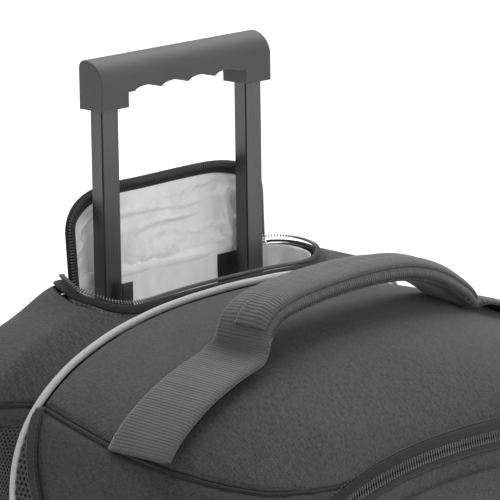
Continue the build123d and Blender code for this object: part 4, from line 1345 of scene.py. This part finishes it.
for side, word in ((-1, "left"), (1, "right")):
    out_along = np.abs(handle_line[:, 0])
    index = np.flatnonzero((np.sign(handle_line[:, 0]) == side) & (out_along > 0.1230) & (out_along < 0.2035))
    first, last = index[0] + 4, index[-1] - 4
    lines = []
    for step, reach in ((0, PATCH_STITCH), (9, PATCH_STITCH - 0.0035)):
        a, b = first + step, last - step
        lines.append([(a, -reach), (b, -reach), (b, reach), (a, reach), (a, -reach)])
    lines.append([(first, -PATCH_STITCH), (last, PATCH_STITCH)])
    lines.append([(last, -PATCH_STITCH), (first, PATCH_STITCH)])
    for k, line in enumerate(lines):
        rows_at = np.concatenate([np.linspace(a[0], b[0], 120) for a, b in zip(line[:-1], line[1:])])
        across = np.concatenate([np.linspace(a[1], b[1], 120) for a, b in zip(line[:-1], line[1:])])
        path, top = on_handle(rows_at, across, np.full(len(rows_at), 0.0019))
        row_piece = stitches(
            f"patch_stitch_{word}_{k}", path, top, "bag", length=0.0026, gap=0.0008, radius=0.0004
        )

# ---------------------------------------------------------------- patches at the foot of the tubes
def patch(name, corners, material, body, thickness=0.0014, rows=10, columns=16, bow=0.0):
    """Quilt between four corners given round its edge."""
    a, b, c, d = (np.asarray(p, float) for p in corners)
    u = np.linspace(0, 1, columns)[None, :, None]
    v = np.linspace(0, 1, rows)[:, None, None]
    points = (a * (1 - u) + b * u) * (1 - v) + (d * (1 - u) + c * u) * v
    out = np.cross(b - a, d - a)
    out /= np.linalg.norm(out)
    points = points + out * (bow * np.sin(math.pi * u) * np.sin(math.pi * v))
    piece = grid_piece(name, points, material, thickness)
    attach(piece, body)
    return piece


TAB_FOOT = 0.5065
TABS = {"left": (-0.0735, -0.0630, 0.1122, 0.5705), "right": (0.0535, 0.0780, 0.1387, 0.5670)}
for word, (x0, x1, y, top) in TABS.items():
    corners = [(x0, y, TAB_FOOT), (x1, y, TAB_FOOT), (x1, y, top), (x0, y, top)]
    patch(f"tube_tab_{word}", corners, webbing, "bag", bow=0.0006)

# ---------------------------------------------------------------- mesh pockets
def mesh_net(name, y_front, y_rear, z_low, z_high, cell, side, lift, material):
    """Knitted mesh with open holes over the side, between two edges given for each height."""
    rows_n = int((z_high - z_low) / (cell * 0.866))
    centres = []
    for r in range(rows_n):
        z = z_low + (r + 0.5) * cell * 0.866
        y0, y1 = y_front(z), y_rear
        count = int((y1 - y0) / cell)
        if count < 1:
            continue
        base = math.floor(y0 / cell) * cell + (0.5 * cell if r % 2 else 0)
        for k in range(count + 2):
            y = base + k * cell
            if y0 + cell * 0.2 < y < y1 - cell * 0.2:
                centres.append((y, z))
    centres = np.array(centres)
    turns = np.linspace(0, 2 * math.pi, 7)[:-1] + math.pi / 6
    outer = np.stack([np.cos(turns), np.sin(turns)], 1) * cell / math.sqrt(3)
    inner = outer * 0.60
    loop = centres[:, None] + np.concatenate([outer, inner])[None]
    flat = loop.reshape(-1, 2)
    s = s_at_height_table(flat[:, 0], flat[:, 1], side)
    points = body_frame(s, flat[:, 0], np.full(len(s), lift))[0]
    quads = []
    for k in range(6):
        n = (k + 1) % 6
        quads.append((k, n, 6 + n, 6 + k))
    quads = np.array(quads)
    faces = (np.arange(len(centres))[:, None, None] * 12 + quads[None]).reshape(-1, 4)
    if side > 0:
        faces = faces[:, ::-1]
    piece = piece_from(name, points, faces, material, flat)
    thicken(piece, 0.0007)
    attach(piece, "bag")
    return piece


Z_TABLE = np.linspace(0.06, 0.52, 231)
Y_TABLE = np.linspace(-0.149, 0.149, 150)
S_LEFT = np.stack([s_at_height(Y_TABLE, z, -1) for z in Z_TABLE])


def s_at_height_table(y, z, side):
    """Arc length at height z on one side, read from a table."""
    a = np.clip((z - Z_TABLE[0]) / (Z_TABLE[-1] - Z_TABLE[0]) * (len(Z_TABLE) - 1), 0, len(Z_TABLE) - 1.001)
    b = np.clip((y - Y_TABLE[0]) / (Y_TABLE[-1] - Y_TABLE[0]) * (len(Y_TABLE) - 1), 0, len(Y_TABLE) - 1.001)
    i, j = a.astype(int), b.astype(int)
    fz, fy = a - i, b - j
    below = S_LEFT[i, j] * (1 - fy) + S_LEFT[i, j + 1] * fy
    above = S_LEFT[i + 1, j] * (1 - fy) + S_LEFT[i + 1, j + 1] * fy
    left = below * (1 - fz) + above * fz
    return left if side < 0 else -left


def mouth_y(z):
    """Front edge of the mesh side pocket at height z."""
    return 0.0630 - 0.40 * (0.498 - z)


MESH_TOP = 0.4965
for side, word in ((-1, "left"), (1, "right")):
    front_net = mesh_net(
        f"side_net_{word}", mouth_y, PIPING_Y - 0.0030, 0.122, 0.5085, 0.0042, side, 0.0022, mesh_cloth
    )
    mesh_net(
        f"gusset_net_{word}", lambda z: PIPING_Y + 0.0030, 0.1450, 0.124, MESH_TOP, 0.0027, side, 0.0016,
        mesh_cloth,
    )
    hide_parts(f"mesh_pocket_{word}")
    edge_z = np.linspace(0.120, 0.5090, 300)
    edge_y = np.array([mouth_y(z) for z in edge_z])
    path, normal, _, _ = body_frame(s_at_height_table(edge_y, edge_z, side), edge_y, np.full(300, 0.0022))
    _, lace, lace_up = directions(path, normal)
    section = ribbon_profile(0.0095, 0.0024)
    trim = tube_mesh(f"side_net_binding_{word}", path, lace, lace_up, section, binding_cloth)
    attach(trim, "bag")
    for k, offset in enumerate((-0.0033, 0.0033)):
        stitches(f"net_stitch_{word}_{k}", path + lace * offset + lace_up * 0.0011, lace_up, "bag")
    floor_y = np.linspace(mouth_y(0.121), 0.0440, 160)
    floor_s = s_at_height_table(floor_y, np.full(160, 0.121), side)
    path, normal, _, _ = body_frame(floor_s, floor_y, np.full(160, 0.0018))
    _, lace, lace_up = directions(path, normal)
    section = ribbon_profile(0.0080, 0.0020)
    trim = tube_mesh(f"side_net_foot_{word}", path, lace, lace_up, section, binding_cloth)
    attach(trim, "bag")

# ---------------------------------------------------------------- pullers
def puller_loop(name, node, body, pivot, along_axis, out_axis, length):
    """Loop of cord moulded round the slider's bail, its ends held in a small grip."""
    pivot, a, n = (np.asarray(v, float) for v in (pivot, along_axis, out_axis))
    side_way = np.cross(n, a)
    half = 0.0026
    line = []
    for t in np.linspace(0, 1, 60):
        line.append((0.0006 + (length - half) * t, -half * (0.55 + 0.45 * min(1, t * 4))))
    for turn in np.linspace(-math.pi / 2, math.pi / 2, 16)[1:-1]:
        line.append((length - half + half * math.cos(turn) + 0.0006, half * math.sin(turn)))
    line += [(x, -y) for x, y in line[:60][::-1]]
    path = np.array([pivot + a * x + side_way * y for x, y in line])
    path = np.vstack([path, path[:1]])
    _, across, up_way = directions(path, n)
    loop_piece = tube_mesh(
        name, path[:-1], across[:-1], up_way[:-1], circle_profile(0.00125, 10), binding_cloth, closed=True
    )
    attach(loop_piece, body)
    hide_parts(node)
    core = np.array([pivot + a * x for x in np.linspace(length * 0.42, length + 0.0012, 24)])
    _, across, up_way = directions(core, n)
    swell = np.sin(np.linspace(0.25, math.pi - 0.25, 24)) ** 0.5
    rounded = np.array([[(x * k, y * k) for x, y in ribbon_profile(0.0074, 0.0034)] for k in swell])
    tab = tube_mesh(f"{name}_grip", core, across, up_way, rounded, black_plastic)
    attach(tab, body)


joints = {joint["name"]: joint for joint in frame["joints"]}
pocket_pivot = Vector(joints["pocket_puller_hinge"]["pos_m"])
tilt = math.radians(20)
puller_loop("pocket_puller_loop", "pocket_zipper_puller", "pocket_puller", pocket_pivot,
            (-math.cos(tilt), 0, -math.sin(tilt)), (-math.sin(tilt), 0, math.cos(tilt)), 0.031)
main_pivot = Vector(joints["main_puller_hinge"]["pos_m"])
puller_loop(
    "main_puller_loop", "main_zipper_puller", "main_puller", main_pivot, (0, 0, -1), (0.689, -0.725, 0), 0.029
)

# ---------------------------------------------------------------- foam inside
def softened(name, node, material, width):
    """Foam block with rounded edges, made from its CAD solid."""
    source = frame["nodes"][node]
    mesh = source.data.copy()
    mesh.name = name
    piece = bpy.data.objects.new(name, mesh)
    bpy.context.scene.collection.objects.link(piece)
    mesh.materials.clear()
    mesh.materials.append(material)
    bevel = piece.modifiers.new("soft", "BEVEL")
    bevel.width = width
    bevel.segments = 3
    bevel.limit_method = "ANGLE"
    mesh.polygons.foreach_set("use_smooth", [True] * len(mesh.polygons))
    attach(piece, "bag")
    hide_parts(node)


softened("cradle_foam", "ball_cradle", foam_skin, 0.003)
softened("divider_foam", "ball_divider", foam_skin, 0.002)

# ---------------------------------------------------------------- CAD nodes that show
FINISHES = {
    "handle_aluminium": tube_metal, "grip_plastic": grip_plastic, "black_plastic": black_plastic,
    "base_plastic": base_plastic, "liner_board": board_skin, "steel": steel, "wheel_plastic": wheel_plastic,
    "wheel_tyre": tyre_rubber, "foot_rubber": foot_rubber, "zipper_metal": dark_metal, "foam": foam_skin,
    "zipper_puller": black_plastic, "zipper_tape": tape_cloth, "lining": satin, "body_fabric": body_cloth,
    "webbing": webbing, "mesh": mesh_cloth, "piping": piping_cloth,
}
for subpart in frame["record"]["subparts"]:
    node = frame["nodes"][subpart["node"]]
    node.data.materials.clear()
    node.data.materials.append(FINISHES[subpart["material_slot"]])

# ---------------------------------------------------------------- floor and light
floor_verts, floor_faces = [], []
for ring_radius in (0.0, 2.0, 14.0):
    for k in range(48):
        a = 2 * math.pi * k / 48
        floor_verts.append((ring_radius * math.cos(a), ring_radius * math.sin(a), 0.0))
for ring_index in range(2):
    for k in range(48):
        n = (k + 1) % 48
        a, b = ring_index * 48, (ring_index + 1) * 48
        floor_faces.append((a + k, b + k, b + n, a + n) if ring_index else (b + k, b + n, a))
floor_look = Look("floor_look")
floor_look.colour(floor_look.noise(3.0), [(0.3, grey(0.90)), (0.7, grey(0.93))])
floor_look.set(Roughness=0.9, Specular_IOR_Level=0.1)
floor = piece_from("floor", floor_verts, floor_faces, floor_look.material)
floor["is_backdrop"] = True


def sun_light(name, source, strength, spread):
    """Distant soft light from a direction, with its angular size in degrees."""
    data = bpy.data.lights.new(name, "SUN")
    data.energy = strength
    data.angle = math.radians(spread)
    lamp = bpy.data.objects.new(name, data)
    bpy.context.scene.collection.objects.link(lamp)
    lamp.matrix_world = Vector(source).to_track_quat("Z", "Y").to_matrix().to_4x4()


sun_light("key_sun", (0.55, 0.30, 1.25), 3.1, 55)
sun_light("fill_sun", (0.45, -1.0, 0.55), 0.75, 70)
world = bpy.data.worlds.new("studio")
world.use_nodes = True
world.node_tree.nodes["Background"].inputs[0].default_value = (1, 1, 1, 1)
world.node_tree.nodes["Background"].inputs[1].default_value = 0.55
bpy.context.scene.world = world
bpy.context.scene.view_settings.view_transform = "Standard"

# ---------------------------------------------------------------- size of what is shown
low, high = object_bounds()
